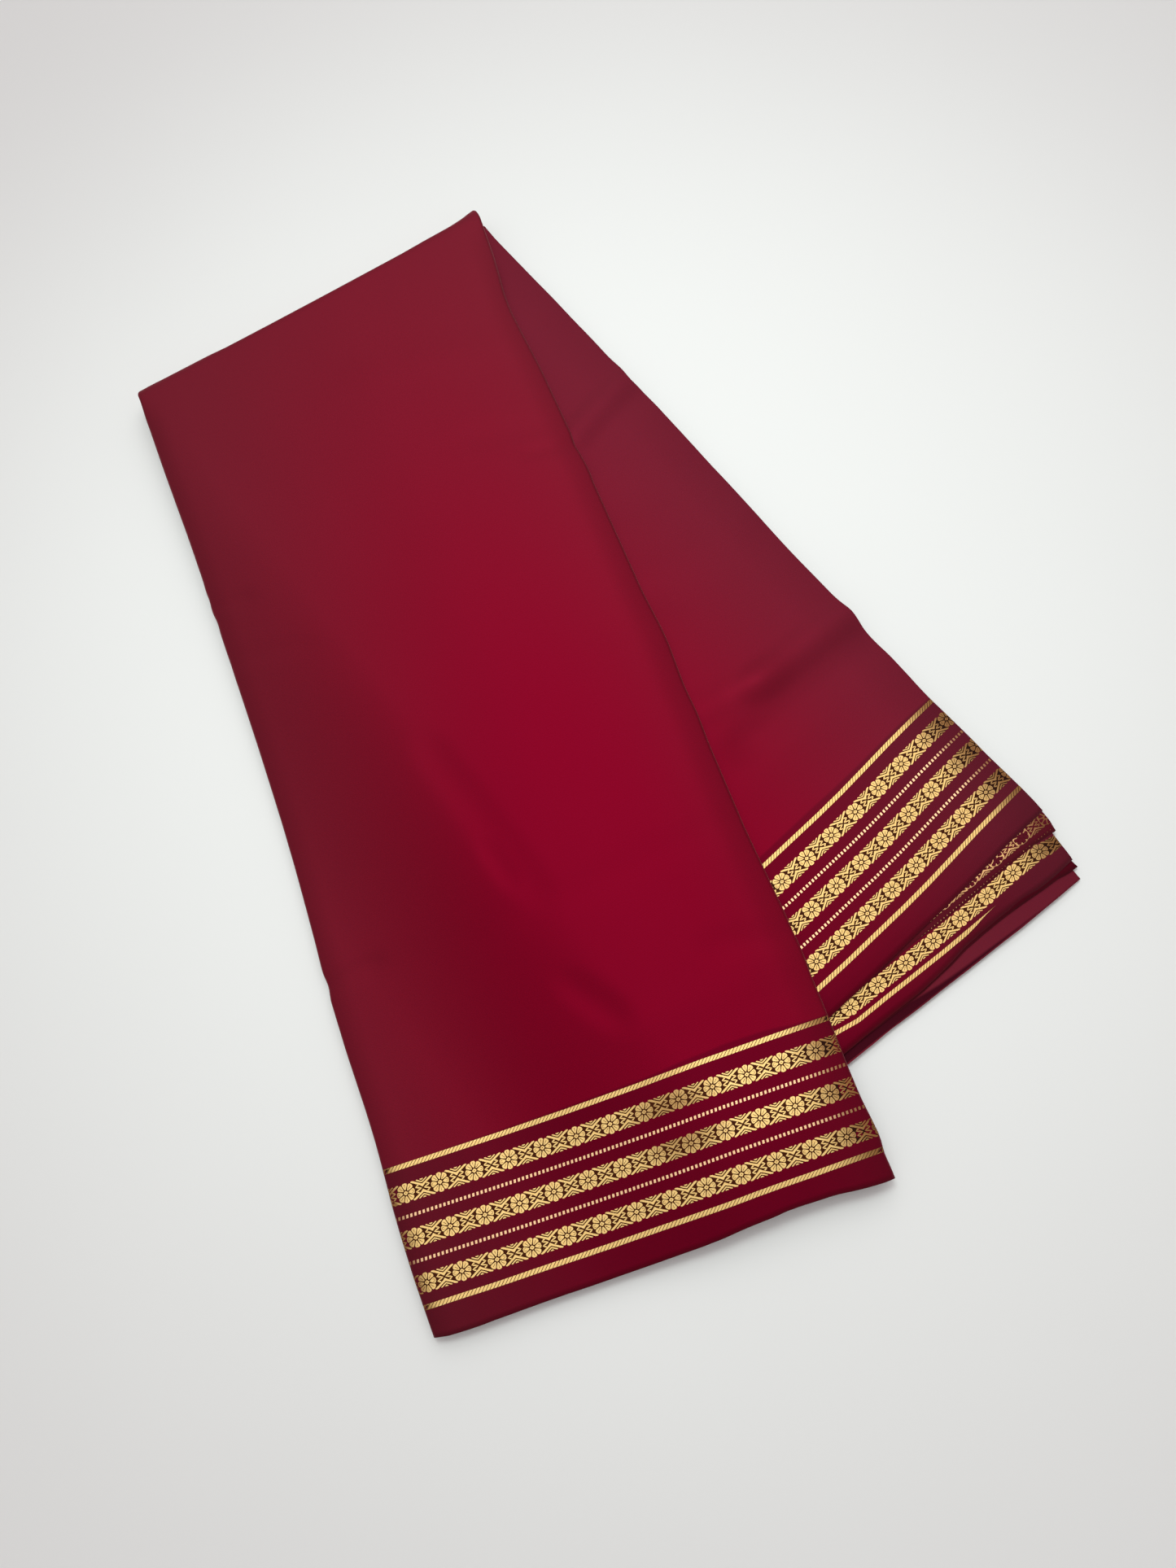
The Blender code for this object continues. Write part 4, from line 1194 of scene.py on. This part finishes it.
def make_lamp(name, kind, place, target, power, colour, **settings):
    """Lamp at a place in metres that points at a target."""
    data = bpy.data.lights.new(name, kind)
    data.energy = power
    data.color = rgb(colour)[:3]
    for key, value in settings.items():
        setattr(data, key, value)
    lamp = bpy.data.objects.new(name, data)
    lamp.location = place
    lamp.rotation_euler = (Vector(target) - Vector(place)).to_track_quat("-Z", "Y").to_euler()
    bpy.context.scene.collection.objects.link(lamp)


def make_world():
    """Pale room: bright ceiling that reaches lower behind the cloth, darker walls."""
    world = bpy.data.worlds.new("pale_room")
    world.use_nodes = True
    tree = world.node_tree
    tree.nodes.clear()
    place = add(tree, "ShaderNodeTexCoord")
    split = add(tree, "ShaderNodeSeparateXYZ", {}, {"Vector": place.outputs["Generated"]})
    back = add(tree, "ShaderNodeMath", {"operation": "MULTIPLY_ADD"},
               {0: split.outputs["Y"], 1: 0.4, 2: split.outputs["Z"]})
    high = add(tree, "ShaderNodeMapRange", {"interpolation_type": "SMOOTHSTEP"},
               {"Value": back.outputs[0], "From Min": 0.72, "From Max": 1.02})
    colour = add(tree, "ShaderNodeMix", {"data_type": "RGBA"},
                 {0: high.outputs["Result"], 6: rgb("#84807E"), 7: rgb("#FFFFFD")})
    light = add(tree, "ShaderNodeBackground", {}, {"Color": colour.outputs[2], "Strength": 1.45})
    add(tree, "ShaderNodeOutputWorld", {}, {"Surface": light.outputs["Background"]})
    bpy.context.scene.world = world


def make_camera():
    """Phone held over the table, 15 degrees off straight down."""
    data = bpy.data.cameras.new("phone")
    data.sensor_width = SENSOR_WIDTH
    data.lens = SENSOR_WIDTH * FOCAL_PIXELS / PHOTO_HEIGHT
    camera = bpy.data.objects.new("phone", data)
    side = CAMERA_AHEAD.cross(CAMERA_UP).normalized()
    up = side.cross(CAMERA_AHEAD).normalized()
    turn = Matrix((side, up, -CAMERA_AHEAD.normalized())).transposed()
    camera.matrix_world = Matrix.Translation(Vector(CAMERA_PLACE) * MM) @ turn.to_4x4()
    bpy.context.scene.collection.objects.link(camera)
    bpy.context.scene.camera = camera


make_floor()
make_world()
make_lamp("window", "AREA", place=(0.1, 1.15, 1.15), target=(0.0, 0.1, 0.0), power=2.2, colour="#FFFFFF",
          shape="DISK", size=1.3)
make_lamp("ceiling_lamp", "SPOT", place=(-0.07, 0.31, 1.3), target=(0.02, 0.05, 0.0), power=27.0,
          colour="#EFFFF8", spot_size=math.radians(52.0), spot_blend=1.0, shadow_soft_size=0.2)
make_camera()
bpy.context.scene.view_settings.view_transform = "Standard"
